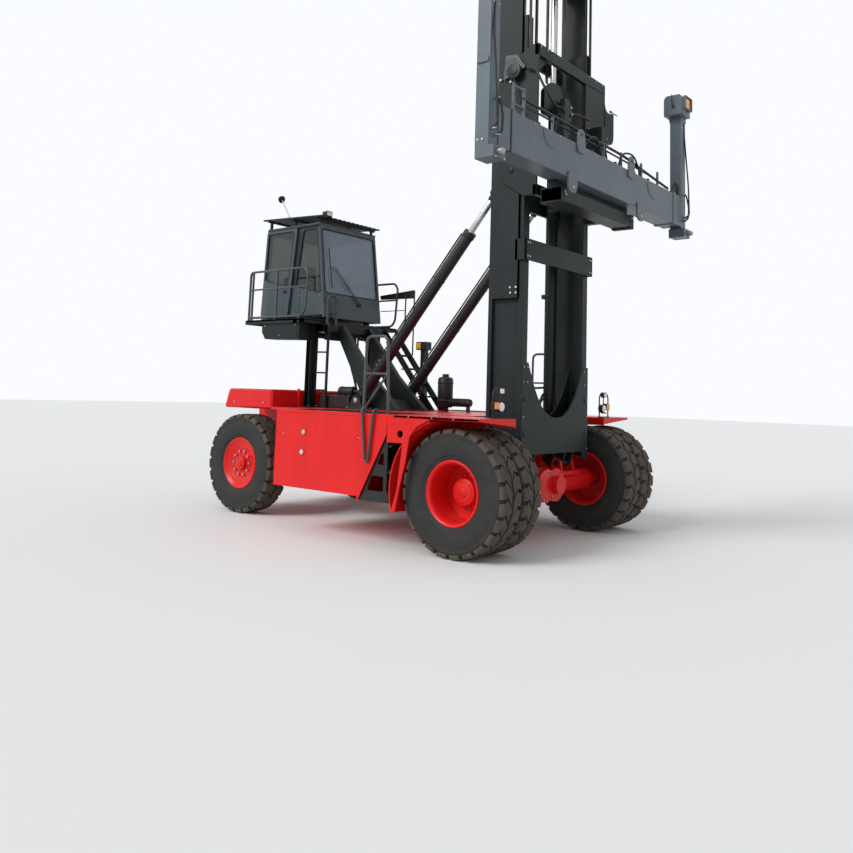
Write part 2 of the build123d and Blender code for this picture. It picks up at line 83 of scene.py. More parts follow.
def twin_of(piece):
    """A copy of a piece with its own mesh."""
    twin = piece.copy()
    twin.data = piece.data.copy()
    bpy.context.scene.collection.objects.link(twin)
    return twin


def edit_whole(piece, *steps):
    """Runs steps of mesh editing, each one on the whole piece."""
    pick(piece)
    bpy.ops.object.mode_set(mode="EDIT")
    for step in steps:
        bpy.ops.mesh.select_all(action="SELECT")
        step()
    bpy.ops.object.mode_set(mode="OBJECT")
    return piece


def face_outwards():
    """Turns the faces of the mesh in edit mode outwards."""
    bpy.ops.mesh.normals_make_consistent(inside=False)


def apply_modifiers(piece):
    """Applies all of a piece's modifiers."""
    pick(piece)
    for modifier in list(piece.modifiers):
        bpy.ops.object.modifier_apply(modifier=modifier.name)
    return piece


def round_edges(piece, width, segments=2, angle=35):
    """Rounds a piece's sharp edges with an applied bevel."""
    modifier = piece.modifiers.new("edges", "BEVEL")
    modifier.width = width
    modifier.segments = segments
    modifier.limit_method = "ANGLE"
    modifier.angle_limit = radians(angle)
    return apply_modifiers(piece)


def smooth(piece, angle=40):
    """Shades a piece smooth up to an angle."""
    pick(piece)
    bpy.ops.object.shade_smooth_by_angle(angle=radians(angle))
    return piece


def block(low, high, edge=0.004, segments=2):
    """A block between two corners, with rounded edges."""
    clear_selection()
    low, high = Vector(low), Vector(high)
    bpy.ops.mesh.primitive_cube_add(size=1, location=(low + high) / 2)
    piece = bpy.context.object
    piece.scale = high - low
    settle(piece)
    if edge:
        round_edges(piece, edge, segments)
    return piece


def drum(start, end, radius, sides=32, edge=0.0, tip=None):
    """A round bar between two points, narrowed to tip at its far end."""
    clear_selection()
    start, end = Vector(start), Vector(end)
    axis = end - start
    bpy.ops.mesh.primitive_cone_add(
        vertices=sides, radius1=radius, radius2=radius if tip is None else tip, depth=axis.length,
        location=(start + end) / 2
    )
    piece = bpy.context.object
    piece.rotation_mode = "QUATERNION"
    piece.rotation_quaternion = axis.to_track_quat("Z", "Y")
    settle(piece)
    if edge:
        round_edges(piece, edge, 2)
    return piece


def ball(centre, radius):
    """A round knob."""
    clear_selection()
    bpy.ops.mesh.primitive_uv_sphere_add(segments=24, ring_count=12, radius=radius, location=centre)
    return settle(bpy.context.object)


def profile(points, axis):
    """A mesh of one closed outline in the plane across an axis: x and z for y, y and z for x, x and y for z."""
    places = {"y": lambda a, b: (a, 0, b), "x": lambda a, b: (0, a, b), "z": lambda a, b: (a, b, 0)}[axis]
    mesh = bpy.data.meshes.new("outline")
    mesh.from_pydata([places(a, b) for a, b in points], [], [list(range(len(points)))])
    return new_piece("outline", mesh)


def sheet_metal(points, axis, start, end, edge=0.003, segments=2):
    """A plate cut to an outline and extruded from start to end along an axis."""
    piece = profile(points, axis)
    along = {"x": Vector((1, 0, 0)), "y": Vector((0, 1, 0)), "z": Vector((0, 0, 1))}[axis]
    piece.location = along * start
    settle(piece)
    move = {"value": along * (end - start)}
    edit_whole(piece, lambda: bpy.ops.mesh.extrude_region_move(TRANSFORM_OT_translate=move), face_outwards)
    if edge:
        round_edges(piece, edge, segments)
    return piece


def spun(points, centre, steps=72, axis=(0, 1, 0), edge=0.0, segments=3):
    """A ring or cap turned about an axis through centre from a closed outline of (along, radius) pairs."""
    mesh = bpy.data.meshes.new("section")
    count = len(points)
    along = Vector(axis)
    out = Vector((0, 0, 1)) if abs(along.z) < 0.5 else Vector((1, 0, 0))
    mesh.from_pydata(
        [Vector(centre) + along * a + out * r for a, r in points], [(k, (k + 1) % count) for k in range(count)], []
    )
    piece = edit_whole(
        new_piece("section", mesh),
        lambda: bpy.ops.mesh.spin(steps=steps, angle=2 * pi, center=centre, axis=axis),
        lambda: bpy.ops.mesh.remove_doubles(threshold=0.00005),
        face_outwards,
    )
    if edge:
        round_edges(piece, edge, segments)
    return piece


def bent_corner(before, corner, after, radius, steps):
    """Points on the bend that takes a corner's place."""
    back, ahead = before - corner, after - corner
    reach = min(radius, back.length * BEND_SHARE, ahead.length * BEND_SHARE)
    enter, leave = corner + back.normalized() * reach, corner + ahead.normalized() * reach
    shares = [step / steps for step in range(steps + 1)]
    return [enter * (1 - t) ** 2 + corner * 2 * t * (1 - t) + leave * t * t for t in shares]


def pipe(points, radius, bend=0.06, sides=12):
    """A round pipe through points, bent at its corners and closed at its ends."""
    corners = [Vector(p) for p in points]
    line = [corners[0]]
    for before, corner, after in zip(corners, corners[1:], corners[2:]):
        line += bent_corner(before, corner, after, bend, 5)
    line.append(corners[-1])
    curve = bpy.data.curves.new("pipe", "CURVE")
    curve.dimensions = "3D"
    curve.bevel_depth = radius
    curve.bevel_resolution = max(0, sides // 4 - 1)
    curve.use_fill_caps = True
    spline = curve.splines.new("POLY")
    spline.points.add(len(line) - 1)
    for point, place in zip(spline.points, line):
        point.co = (*place, 1)
    pick(new_piece("pipe", curve))
    bpy.ops.object.convert(target="MESH")
    return smooth(bpy.context.object, 50)


def hex_bolt(place, axis, radius=0.012, length=0.012):
    """A hexagon bolt head with a chamfer, standing on place along axis."""
    place, axis = Vector(place), Vector(axis).normalized()
    piece = drum(place - axis * 0.002, place + axis * length, radius, 6)
    return round_edges(piece, radius * 0.14, 1)


def copies(piece, moves):
    """Copies of a piece, each with its own mesh, one for each matrix. The first piece is used up."""
    made = []
    for move in moves:
        twin = twin_of(piece)
        twin.data.transform(move)
        if move.determinant() < 0:
            twin.data.flip_normals()
        made.append(twin)
    bpy.data.objects.remove(piece)
    return made


def weld(pieces):
    """Joins pieces into one mesh."""
    clear_selection()
    for piece in pieces:
        piece.select_set(True)
    bpy.context.view_layer.objects.active = pieces[0]
    if len(pieces) > 1:
        bpy.ops.object.join()
    return bpy.context.view_layer.objects.active


def made_of(material, *pieces):
    """Welds pieces and gives them one finish."""
    whole = weld(list(pieces))
    whole.data.materials.clear()
    whole.data.materials.append(material)
    return whole


MIRROR = Matrix.Scale(-1, 4, (0, 1, 0))
STAY = Matrix.Identity(4)


def with_twin(piece):
    """A piece and its mirror image on the truck's other side, in one mesh."""
    return weld(copies(piece, [STAY, MIRROR]))


def fit(name, pieces, body, replaces=()):
    """Welds finished pieces under one name and fastens them to their body."""
    piece = weld(pieces)
    piece.name = name
    piece.data.name = name
    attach(piece, body)
    if replaces:
        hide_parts(*replaces)
    return piece


def fit_both(pattern, names, bodies, nodes):
    """Fastens a piece made on the right side and its mirror image, with the side's name put into each name."""
    for side, piece in zip(("right", "left"), copies(pattern, [STAY, MIRROR])):
        fit(names.format(side), [piece], bodies.format(side), [nodes.format(side)])


def at(x, y, z):
    """A point given from the front axle, in millimetres."""
    return Vector((AXLE_X + x / 1000, y / 1000, z / 1000))


# ---------------------------------------------------------------- shader groups

def join(tree, socket, value):
    """Joins a socket to another one, or sets it to a value."""
    if isinstance(value, bpy.types.NodeSocket):
        tree.links.new(value, socket)
    else:
        socket.default_value = value


def add(tree, kind, inputs=None, **settings):
    """Adds a shader node, sets it and joins its inputs."""
    node = tree.nodes.new(kind)
    for key, value in settings.items():
        setattr(node, key, value)
    for key, value in (inputs or {}).items():
        join(tree, node.inputs[key], value)
    return node


def shader_group(name, inputs, outputs):
    """An empty shader group with named number inputs, and outputs of given kinds."""
    tree = bpy.data.node_groups.new(name, "ShaderNodeTree")
    for label, value in inputs.items():
        socket = tree.interface.new_socket(name=label, in_out="INPUT", socket_type=FLOAT)
        socket.default_value = value
    for label, kind in outputs.items():
        tree.interface.new_socket(name=label, in_out="OUTPUT", socket_type=kind)
    return tree, add(tree, "NodeGroupInput").outputs, add(tree, "NodeGroupOutput").inputs


def math(tree, operation, a, b=0.0, clamp=False):
    """A math node's result."""
    return add(tree, "ShaderNodeMath", {0: a, 1: b}, operation=operation, use_clamp=clamp).outputs[0]


def ramp(tree, value, low, high):
    """A value spread from low to high over 0 to 1."""
    inputs = {"Value": value, "From Min": low, "From Max": high}
    return add(tree, "ShaderNodeMapRange", inputs, interpolation_type="SMOOTHSTEP").outputs[0]


def noise(tree, vector, scale, detail, roughness=0.5):
    """A noise texture's value."""
    inputs = {"Vector": vector, "Scale": scale, "Detail": detail, "Roughness": roughness}
    return add(tree, "ShaderNodeTexNoise", inputs).outputs[0]


def bump(tree, strength, distance, height, **normal):
    """A bump node's normal."""
    return add(
        tree, "ShaderNodeBump", {"Strength": strength, "Distance": distance, "Height": height, **normal}
    ).outputs[0]


def surface_place(tree):
    """The place on the object, for textures."""
    return add(tree, "ShaderNodeTexCoord").outputs["Object"]


FLOAT, VECTOR = "NodeSocketFloat", "NodeSocketVector"

# Worn edges: where the rounded normal leaves the true one, broken up by noise
edges, given, out = shader_group("worn_edges", {"Width": 0.006, "Breakup": 9.0}, {"Mask": FLOAT, "Normal": VECTOR})
bent = add(edges, "ShaderNodeBevel", {"Radius": given["Width"]}, samples=4).outputs[0]
true = add(edges, "ShaderNodeNewGeometry").outputs["Normal"]
turn = add(edges, "ShaderNodeVectorMath", {0: bent, 1: true}, operation="DOT_PRODUCT").outputs["Value"]
scuff = noise(edges, surface_place(edges), given["Breakup"], 6.0, 0.65)
edge = ramp(edges, math(edges, "SUBTRACT", 1.0, turn), 0.02, 0.2)
join(edges, out["Mask"], math(edges, "MULTIPLY", edge, ramp(edges, scuff, 0.5, 0.64)))
join(edges, out["Normal"], bent)

# Paint tone: slow and fine variation in a coat of paint, with its orange peel
tone, given, out = shader_group("paint_tone", {"Scale": 1.0}, {"Tone": FLOAT, "Sheen": FLOAT, "Peel": FLOAT})
place = surface_place(tone)
slow = noise(tone, place, math(tone, "MULTIPLY", given["Scale"], 1.3), 4.0)
streaks = add(tone, "ShaderNodeMapping", {"Vector": place, "Scale": (7.0, 7.0, 0.9)}).outputs[0]
run = noise(tone, streaks, given["Scale"], 5.0, 0.6)
join(tone, out["Tone"], math(tone, "ADD", math(tone, "MULTIPLY", slow, 0.5), math(tone, "MULTIPLY", run, 0.5)))
join(tone, out["Sheen"], run)
join(tone, out["Peel"], noise(tone, place, math(tone, "MULTIPLY", given["Scale"], 150.0), 2.0))

# Yard dust: on faces that look up and low down near the ground
dust, given, out = shader_group("yard_dust", {"Amount": 0.3, "Low": 0.9}, {"Mask": FLOAT})
place = surface_place(dust)
height = add(dust, "ShaderNodeSeparateXYZ", {"Vector": place}).outputs["Z"]
facing = add(dust, "ShaderNodeNewGeometry").outputs["Normal"]
upward = add(dust, "ShaderNodeSeparateXYZ", {"Vector": facing}).outputs["Z"]
cloud = noise(dust, place, 3.2, 7.0, 0.62)
lie = math(dust, "MULTIPLY", ramp(dust, upward, 0.5, 0.95), 0.55)
low = math(dust, "SUBTRACT", 1.0, ramp(dust, height, 0.0, given["Low"]))
both_masks = math(dust, "ADD", lie, math(dust, "MULTIPLY", low, 0.7), True)
patchy = math(dust, "MULTIPLY", both_masks, ramp(dust, cloud, 0.33, 0.7))
join(dust, out["Mask"], math(dust, "MULTIPLY", patchy, given["Amount"]))


# ---------------------------------------------------------------- materials

DUST_COLOUR = (0.36, 0.33, 0.29, 1)


def new_material(name):
    """An empty material with a Principled shader."""
    material = bpy.data.materials.new(name)
    material.use_nodes = True
    tree = material.node_tree
    tree.nodes.clear()
    shader = add(tree, "ShaderNodeBsdfPrincipled")
    add(tree, "ShaderNodeOutputMaterial", {"Surface": shader.outputs[0]})
    return material, tree, shader


def set_shader(tree, shader, inputs):
    """Sets a shader's inputs, or joins them to other nodes."""
    for key, value in inputs.items():
        join(tree, shader.inputs[key], value)


def mixed(tree, factor, a, b):
    """A colour mix node's result."""
    node = add(tree, "ShaderNodeMix", {"Factor": factor}, data_type="RGBA")
    for socket, value in zip([s for s in node.inputs if s.type == "RGBA"], (a, b)):
        join(tree, socket, value)
    return [s for s in node.outputs if s.type == "RGBA"][0]


def painted(
    name, colour, deep, rough=0.38, wear=0.5, wear_colour=(0.22, 0.21, 0.2), dusty=0.25, coat=0.0, metallic=0.0,
    shine=0.5
):
    """Sprayed paint: tone variation, worn edges, dust, a little orange peel and rounded edges."""
    material, tree, shader = new_material(name)
    spray = add(tree, "ShaderNodeGroup", node_tree=tone).outputs
    worn = add(tree, "ShaderNodeGroup", node_tree=edges).outputs
    dusted = add(tree, "ShaderNodeGroup", {"Amount": dusty}, node_tree=dust).outputs["Mask"]
    body = mixed(tree, ramp(tree, spray["Tone"], 0.32, 0.68), (*deep, 1), (*colour, 1))
    body = mixed(tree, math(tree, "MULTIPLY", worn["Mask"], wear), body, (*wear_colour, 1))
    gloss = math(tree, "ADD", math(tree, "MULTIPLY", spray["Sheen"], 0.22), rough - 0.11)
    set_shader(tree, shader, {
        "Base Color": mixed(tree, dusted, body, DUST_COLOUR),
        "Roughness": math(tree, "ADD", gloss, math(tree, "MULTIPLY", dusted, 0.4), True),
        "Metallic": metallic, "Specular IOR Level": shine, "Coat Weight": coat, "Coat Roughness": 0.12,
        "Normal": bump(tree, 0.06, 0.001, spray["Peel"], Normal=worn["Normal"]),
    })
    return material


def metal(name, colour, rough, metallic=1.0):
    """Bare or plated metal with fine grain and smears."""
    material, tree, shader = new_material(name)
    place = surface_place(tree)
    grain, smear = noise(tree, place, 90.0, 4.0), noise(tree, place, 6.0, 5.0)
    dark = tuple(c * 0.72 for c in colour)
    set_shader(tree, shader, {
        "Base Color": mixed(tree, ramp(tree, smear, 0.35, 0.7), (*dark, 1), (*colour, 1)),
        "Roughness": math(tree, "ADD", math(tree, "MULTIPLY", grain, 0.18), rough, True),
        "Metallic": metallic, "Normal": bump(tree, 0.08, 0.0006, grain),
    })
    return material


def rubber(name, colour, brown, low=0.55, grain=220.0):
    """Tyre, seal or cloth: matt, slightly brown where it is dusty."""
    material, tree, shader = new_material(name)
    place = surface_place(tree)
    fine, cloud = noise(tree, place, grain, 3.0), noise(tree, place, 7.0, 6.0, 0.65)
    set_shader(tree, shader, {
        "Base Color": mixed(tree, ramp(tree, cloud, 0.35, 0.68), (*colour, 1), (*brown, 1)),
        "Roughness": math(tree, "ADD", math(tree, "MULTIPLY", cloud, 0.3), low, True),
        "Specular IOR Level": 0.3, "Normal": bump(tree, 0.2, 0.002, fine),
    })
    return material


def lens(name, colour, rough=0.08, alpha=1.0):
    """Lamp lens or window glass with a faint film of dust."""
    material, tree, shader = new_material(name)
    film = noise(tree, surface_place(tree), 2.6, 6.0, 0.6)
    pale = tuple(min(1.0, c * 1.12 + 0.008) for c in colour)
    set_shader(tree, shader, {
        "Base Color": mixed(tree, ramp(tree, film, 0.4, 0.75), (*colour, 1), (*pale, 1)),
        "Roughness": math(tree, "ADD", math(tree, "MULTIPLY", film, 0.12), rough, True),
        "Alpha": alpha, "IOR": 1.45, "Coat Weight": 0.5, "Coat Roughness": 0.05,
    })
    return material


RED = painted(
    "red_paint", (0.70, 0.010, 0.009), (0.60, 0.008, 0.007), 0.36, 0.3, (0.30, 0.02, 0.02), 0.04, coat=0.06,
    shine=0.25
)
CHARCOAL = painted("mast_paint", (0.034, 0.046, 0.048), (0.022, 0.031, 0.032), 0.42, 0.55, dusty=0.2)
SLATE = painted("spreader_paint", (0.105, 0.142, 0.165), (0.078, 0.106, 0.122), 0.4, dusty=0.12, shine=0.4)
CAB_GREY = painted("cab_paint", (0.058, 0.084, 0.096), (0.042, 0.063, 0.073), 0.36, 0.3, dusty=0.08, shine=0.35)
BLACK = painted(
    "black_paint", (0.02, 0.021, 0.022), (0.012, 0.013, 0.013), 0.45, 0.4, (0.12, 0.12, 0.12), 0.12, shine=0.3
)
RAIL_PAINT = painted("rail_paint", (0.055, 0.063, 0.065), (0.036, 0.042, 0.044), 0.33, 0.3, dusty=0.08)
IRON = painted("engine_iron", (0.10, 0.10, 0.10), (0.05, 0.05, 0.05), 0.6, dusty=0.5, metallic=0.4)
STEEL = metal("chromed_rod", (0.62, 0.62, 0.63), 0.12)
BOLT = metal("plated_bolts", (0.42, 0.42, 0.41), 0.34)
CHAIN = metal("oiled_chain", (0.10, 0.095, 0.088), 0.4, 0.85)
SIDEWALL = rubber("tyre_sidewall", (0.017, 0.0185, 0.018), (0.028, 0.028, 0.026))
TREAD = rubber("tyre_tread", (0.052, 0.043, 0.034), (0.092, 0.075, 0.058), low=0.6)
SEAL = rubber("window_seal", (0.012, 0.012, 0.012), (0.022, 0.022, 0.022), low=0.45)
CLOTH = rubber("seat_cloth", (0.02, 0.02, 0.023), (0.035, 0.035, 0.04), low=0.7, grain=500.0)
MAST_PAINT = painted("mast_grey", (0.013, 0.018, 0.019), (0.008, 0.012, 0.013), 0.44, dusty=0.05, shine=0.22)
HOSE = rubber("hydraulic_hose", (0.014, 0.014, 0.015), (0.028, 0.028, 0.028), low=0.4)
PALE_BOLT = metal("zinc_bolts", (0.66, 0.66, 0.63), 0.4, 0.6)
SIDE_GLASS = lens("side_glass", (0.016, 0.032, 0.027), 0.03, 0.58)
# Windscreen glass: its own faint tint, made pale blue-grey by a painted sky reflection in its colour, so it is
# lighter than the side glass
FRONT_GLASS_PAINTED_SKY = lens("front_glass_painted_sky", (0.16, 0.235, 0.30), 0.03, 0.66)
YELLOW_LENS = lens("yellow_lens", (0.85, 0.5, 0.03))
AMBER = lens("amber_lens", (0.85, 0.28, 0.02))
RED_LENS = lens("red_lens", (0.6, 0.02, 0.015))
CLEAR = lens("lamp_lens", (0.72, 0.76, 0.78))

# The finish of each CAD node, by its slot, with the spreader's nodes in their own
PAINT = {
    "red_paint": RED, "dark_paint": CHARCOAL, "grey_paint": CAB_GREY, "black_paint": BLACK, "tyre_rubber": SIDEWALL,
    "steel": STEEL, "seat_cloth": CLOTH, "engine_iron": IRON,
}
SPREADER_NODES = ("spreader_beam", "right_arm", "left_arm")
for row in frame["record"]["subparts"]:
    node = frame["nodes"][row["node"]]
    node.data.materials.clear()
    node.data.materials.append(SLATE if row["node"] in SPREADER_NODES else PAINT[row["material_slot"]])


# ---------------------------------------------------------------- tyres

LUG_COUNT = 24
LUG_PITCH = 2 * pi / LUG_COUNT
LUG_DEPTH = 0.032
# Rows across a lug's shoulder: (v, place across, radius)
SHOULDER = [(-0.22, 0.1965, 0.690), (-0.1, 0.190, 0.722), (0.0, 0.176, 0.742)]


def groove_lean(v):
    """How far a groove leans round the tyre, in pitches, from the shoulder at 0 to the middle at 1."""
    if v < 0.3:
        return 0.0
    if v < 0.4:
        return -1.6 * (v - 0.3)
    return -0.16 + 1.05 * (v - 0.4)


def crown(v, share):
    """The place across the tyre and the radius of a lug's top at v, for a share of the way round the pitch."""
    if v < 0:
        for (a, ya, ra), (b, yb, rb) in zip(SHOULDER, SHOULDER[1:]):
            if v <= b:
                t = (v - a) / (b - a)
                return ya + (yb - ya) * t, ra + (rb - ra) * t
    across = 0.176 * (1 - v)
    if v > 0.9:
        across = 0.005 + 0.020 * abs((share % 1) * 2 - 1)
    return across, 0.742 + 0.008 * (1 - (1 - v) ** 2)


def tread_lug():
    """One lug: a grid laid round the tyre, given its depth and rounded edges."""
    rows = [-0.22, -0.1, 0.0, 0.14, 0.3, 0.4, 0.6, 0.8, 1.0]
    clear_selection()
    bpy.ops.mesh.primitive_grid_add(x_subdivisions=3, y_subdivisions=len(rows) - 1, size=1)
    lug = bpy.context.object
    for corner in lug.data.vertices:
        u, v = corner.co.x + 0.5, rows[round((corner.co.y + 0.5) * (len(rows) - 1))]
        gap = 0.125 if v <= 0.3 else 0.075
        share = groove_lean(v) + gap + u * (1 - 2 * gap)
        across, radius = crown(v, share)
        corner.co = (radius * sin(share * LUG_PITCH), -across, radius * cos(share * LUG_PITCH))
    edit_whole(lug, face_outwards)
    if sum(face.normal.z for face in lug.data.polygons) < 0:
        lug.data.flip_normals()
    depth = lug.modifiers.new("depth", "SOLIDIFY")
    depth.thickness = LUG_DEPTH
    depth.offset = -1
    apply_modifiers(lug)
    return round_edges(lug, 0.003, 1, 50)


def tyre_carcass():
    """The tyre under its lugs: bead, bulging side with its rings, shoulder and tread base."""
    side = [
        (0.0, 0.722), (0.10, 0.721), (0.150, 0.716), (0.172, 0.707), (0.184, 0.694), (0.189, 0.678), (0.1925, 0.672),
        (0.1925, 0.663), (0.190, 0.658)
    ]
    side += [
        (0.1965, 0.625), (0.2005, 0.585), (0.2005, 0.540), (0.197, 0.495), (0.189, 0.456), (0.1875, 0.443),
        (0.181, 0.438), (0.176, 0.425)
    ]
    side += [(0.171, 0.405), (0.163, 0.388), (0.150, 0.378), (0.150, 0.352)]
    outline = [(-y, r) for y, r in side] + [(y, r) for y, r in reversed(side[1:])]
    return smooth(spun(outline, (0, 0, 0), steps=96), 42)


def tyre_at(x, y, phase):
    """A finished tyre at an axle: the carcass and both staggered rows of lugs."""
    near = [Matrix.Rotation((k + phase) * LUG_PITCH, 4, "Y") for k in range(LUG_COUNT)]
    far = [Matrix.Rotation((k + phase + 0.5) * LUG_PITCH, 4, "Y") @ MIRROR for k in range(LUG_COUNT)]
    lugs = copies(twin_of(lug_pattern), near + far)
    whole = weld([made_of(SIDEWALL, twin_of(carcass_pattern)), made_of(TREAD, *lugs)])
    whole.data.transform(Matrix.Translation((AXLE_X + x, y, TYRE_R)))
    return whole


lug_pattern = tread_lug()
carcass_pattern = tyre_carcass()
FRONT_OUTER, FRONT_INNER, REAR_TRACK = 1.758, 1.325, 1.309
for name, side in (("right", -1), ("left", 1)):
    twins = weld([tyre_at(0, side * FRONT_OUTER, 0.1), tyre_at(0, side * FRONT_INNER, 0.35)])
    fit(f"front_{name}_tyre_pair", [twins], f"front_{name}_wheel", [f"front_{name}_tyres"])
    single = tyre_at(-WHEELBASE, side * REAR_TRACK, 0.2)
    fit(f"rear_{name}_road_tyre", [single], f"rear_{name}_wheel", [f"rear_{name}_tyre"])
for pattern in (lug_pattern, carcass_pattern):
    bpy.data.objects.remove(pattern)


# ---------------------------------------------------------------- rims and hubs, made on the right side and mirrored

def turned_at(x, outline, edge=0.0):
    """A ring turned about an axle from (y, radius) pairs in millimetres."""
    piece = spun([(y / 1000, r / 1000) for y, r in outline], (AXLE_X + x, 0, TYRE_R), edge=edge, segments=2)
    return smooth(piece, 35)


def bolt_circle(x, y, circle, count, radius, length, material):
    """Hexagon nuts on a circle, standing out to the right."""
    nuts = []
    for k in range(count):
        angle = 2 * pi * (k + 0.5) / count
        nuts.append(
            hex_bolt((AXLE_X + x + circle * sin(angle), y, TYRE_R + circle * cos(angle)), (0, -1, 0), radius, length)
        )
    return made_of(material, *nuts)


front_section = [
    (-1929, 362), (-1933, 374), (-1930, 384), (-1920, 388), (-1912, 384), (-1910, 372), (-1908, 350), (-1606, 350),
    (-1602, 378), (-1480, 378)
]
front_section += [
    (-1476, 350), (-1174, 350), (-1172, 372), (-1170, 384), (-1162, 388), (-1152, 384), (-1149, 374), (-1153, 362),
    (-1166, 346), (-1200, 334)
]
front_section += [
    (-1240, 330), (-1520, 328), (-1528, 320), (-1528, 206), (-1556, 206), (-1556, 320), (-1566, 328), (-1842, 330),
    (-1882, 334), (-1916, 346)
]
front_hub = [
    (-1492, 0), (-1492, 212), (-1604, 212), (-1606, 172), (-1680, 166), (-1698, 158), (-1706, 144), (-1707, 126),
    (-1716, 120), (-1719, 62)
]
front_hub += [(-1728, 58), (-1731, 24), (-1740, 20), (-1742, 0)]
front_rim = weld([
    made_of(RED, turned_at(0, front_section)),
    made_of(RED, turned_at(0, front_hub, 0.003)),
    bolt_circle(0, -1.604, 0.191, 18, 0.014, 0.020, RED),
    bolt_circle(0, -1.706, 0.135, 12, 0.008, 0.008, RED),
])
rear_section = [
    (-1480, 362), (-1484, 374), (-1481, 384), (-1471, 388), (-1463, 384), (-1461, 372), (-1459, 350), (-1157, 350),
    (-1155, 372), (-1153, 384)
]
rear_section += [
    (-1145, 388), (-1135, 384), (-1132, 374), (-1140, 350), (-1180, 334), (-1364, 328), (-1394, 250), (-1396, 100),
    (-1420, 100), (-1421, 236)
]
rear_section += [(-1434, 262), (-1448, 300), (-1454, 330), (-1466, 346)]
rear_hub = [
    (-1300, 0), (-1300, 112), (-1418, 112), (-1424, 106), (-1466, 104), (-1474, 96), (-1476, 60), (-1488, 54),
    (-1492, 46), (-1494, 0)
]
rear_rim = weld([
    made_of(RED, turned_at(-WHEELBASE, rear_section)),
    made_of(RED, turned_at(-WHEELBASE, rear_hub, 0.002)),
    bolt_circle(-WHEELBASE, -1.421, 0.180, 10, 0.021, 0.030, BOLT),
    bolt_circle(-WHEELBASE, -1.474, 0.078, 6, 0.008, 0.007, BOLT),
])
fit_both(front_rim, "front_{}_painted_rim", "front_{}_wheel", "front_{}_rims")
fit_both(rear_rim, "rear_{}_painted_rim", "rear_{}_wheel", "rear_{}_rim")


# ---------------------------------------------------------------- handrails

# The heights at which rails stand, 0.3 mm clear of the platform and of the deck
PLATFORM_FOOT = 3000.3
DECK_FOOT = 1626.3
RAIL_TOP = 3795
RAIL_FOOT = 3040
RAIL_REAR = -5016
RAIL_Y = -1045
SIDE_Y = -1982
GRAB_Y = -2119


def rail(points, radius=0.019, bend=0.07):
    """A bent steel tube through points in millimetres from the front axle."""
    return pipe([at(*p) for p in points], radius, bend)


def foot_plate(x, y, z):
    """The small flange that a rail stands on."""
    return block(at(x - 34, y - 26, z - 0.2), at(x + 34, y + 26, z + 8), 0.003, 1)


platform_rails = [
    rail([
        (RAIL_REAR, RAIL_Y, PLATFORM_FOOT), (RAIL_REAR, RAIL_Y, RAIL_TOP), (-3690, RAIL_Y, RAIL_TOP),
        (-3620, RAIL_Y, 3700), (-3660, RAIL_Y, 3140), (-3740, RAIL_Y, RAIL_FOOT), (RAIL_REAR, RAIL_Y, RAIL_FOOT)
    ]),
    rail([(RAIL_REAR, RAIL_Y, 3500), (-3636, RAIL_Y, 3500)], 0.015),
    rail([(RAIL_REAR + 70, RAIL_Y, PLATFORM_FOOT), (RAIL_REAR + 70, RAIL_Y, RAIL_TOP)]),
    rail([(-4350, RAIL_Y, PLATFORM_FOOT), (-4350, RAIL_Y, RAIL_TOP)]),
    rail([(-3790, RAIL_Y, PLATFORM_FOOT), (-3790, RAIL_Y, RAIL_FOOT)]),
    foot_plate(-4350, RAIL_Y, PLATFORM_FOOT),
    foot_plate(-3790, RAIL_Y, PLATFORM_FOOT),
]
side_rails = [
    rail(
        [(-1412, SIDE_Y, DECK_FOOT), (-1401, SIDE_Y, 2598), (-1040, SIDE_Y, 2598), (-988, SIDE_Y, DECK_FOOT)],
        bend=0.09
    ),
    rail([(-1409, SIDE_Y, 2125), (-1018, SIDE_Y, 2125)], 0.015),
    rail([(-1025, SIDE_Y, 2122), (-1409, SIDE_Y, 1665)], 0.015),
    foot_plate(-1412, SIDE_Y, DECK_FOOT),
    foot_plate(-988, SIDE_Y, DECK_FOOT),
    rail(
        [
            (-1311, -2049, DECK_FOOT), (-1311, -2049, 1672), (-1311, GRAB_Y, 1672), (-1228, GRAB_Y, 1040),
            (-1180, GRAB_Y, 1040), (-1111, GRAB_Y, 1672), (-1111, -2049, 1672), (-1111, -2049, DECK_FOOT)
        ],
        0.016, 0.05
    ),
]
cab_hoop = [
    rail([(-3580, -640, 2930), (-3580, -640, 3397), (-3580, -450, 3397), (-3580, -450, 2930)], bend=0.09),
    rail([(-3580, -640, 3130), (-3580, -450, 3130)], 0.014),
]
rails = weld([with_twin(weld(platform_rails)), with_twin(weld(side_rails)), *cab_hoop])
fit("handrail_tubes", [made_of(RAIL_PAINT, rails)], "chassis", ["handrails"])


# ---------------------------------------------------------------- forms given in millimetres from the front axle

def slab(x0, x1, y0, y1, z0, z1, edge=3, segments=1):
    """A plate or block between its limits."""
    return block(at(x0, y0, z0), at(x1, y1, z1), edge / 1000, segments)


def side_cut(points, y0, y1, edge=2):
    """A plate cut to (x, z) points and as thick as y0 to y1."""
    return sheet_metal([(AXLE_X + x / 1000, z / 1000) for x, z in points], "y", y0 / 1000, y1 / 1000, edge / 1000, 1)


def front_cut(points, x0, x1, edge=2):
    """A plate cut to (y, z) points and as thick as x0 to x1."""
    outline = [(y / 1000, z / 1000) for y, z in points]
    return sheet_metal(outline, "x", AXLE_X + x0 / 1000, AXLE_X + x1 / 1000, edge / 1000, 1)


def shaft(start, end, radius, sides=24, edge=0, tip=None):
    """A round bar between two points."""
    return smooth(
        drum(at(*start), at(*end), radius / 1000, sides, edge / 1000, None if tip is None else tip / 1000), 40
    )


def hose(points, radius=12, bend=90, sides=12):
    """A pipe or a clipped hose through points."""
    return pipe([at(*p) for p in points], radius / 1000, bend / 1000, sides)


def bolts(places, axis, radius=12, length=10):
    """Hexagon bolt heads on places."""
    return weld([hex_bolt(at(*place), axis, radius / 1000, length / 1000) for place in places])


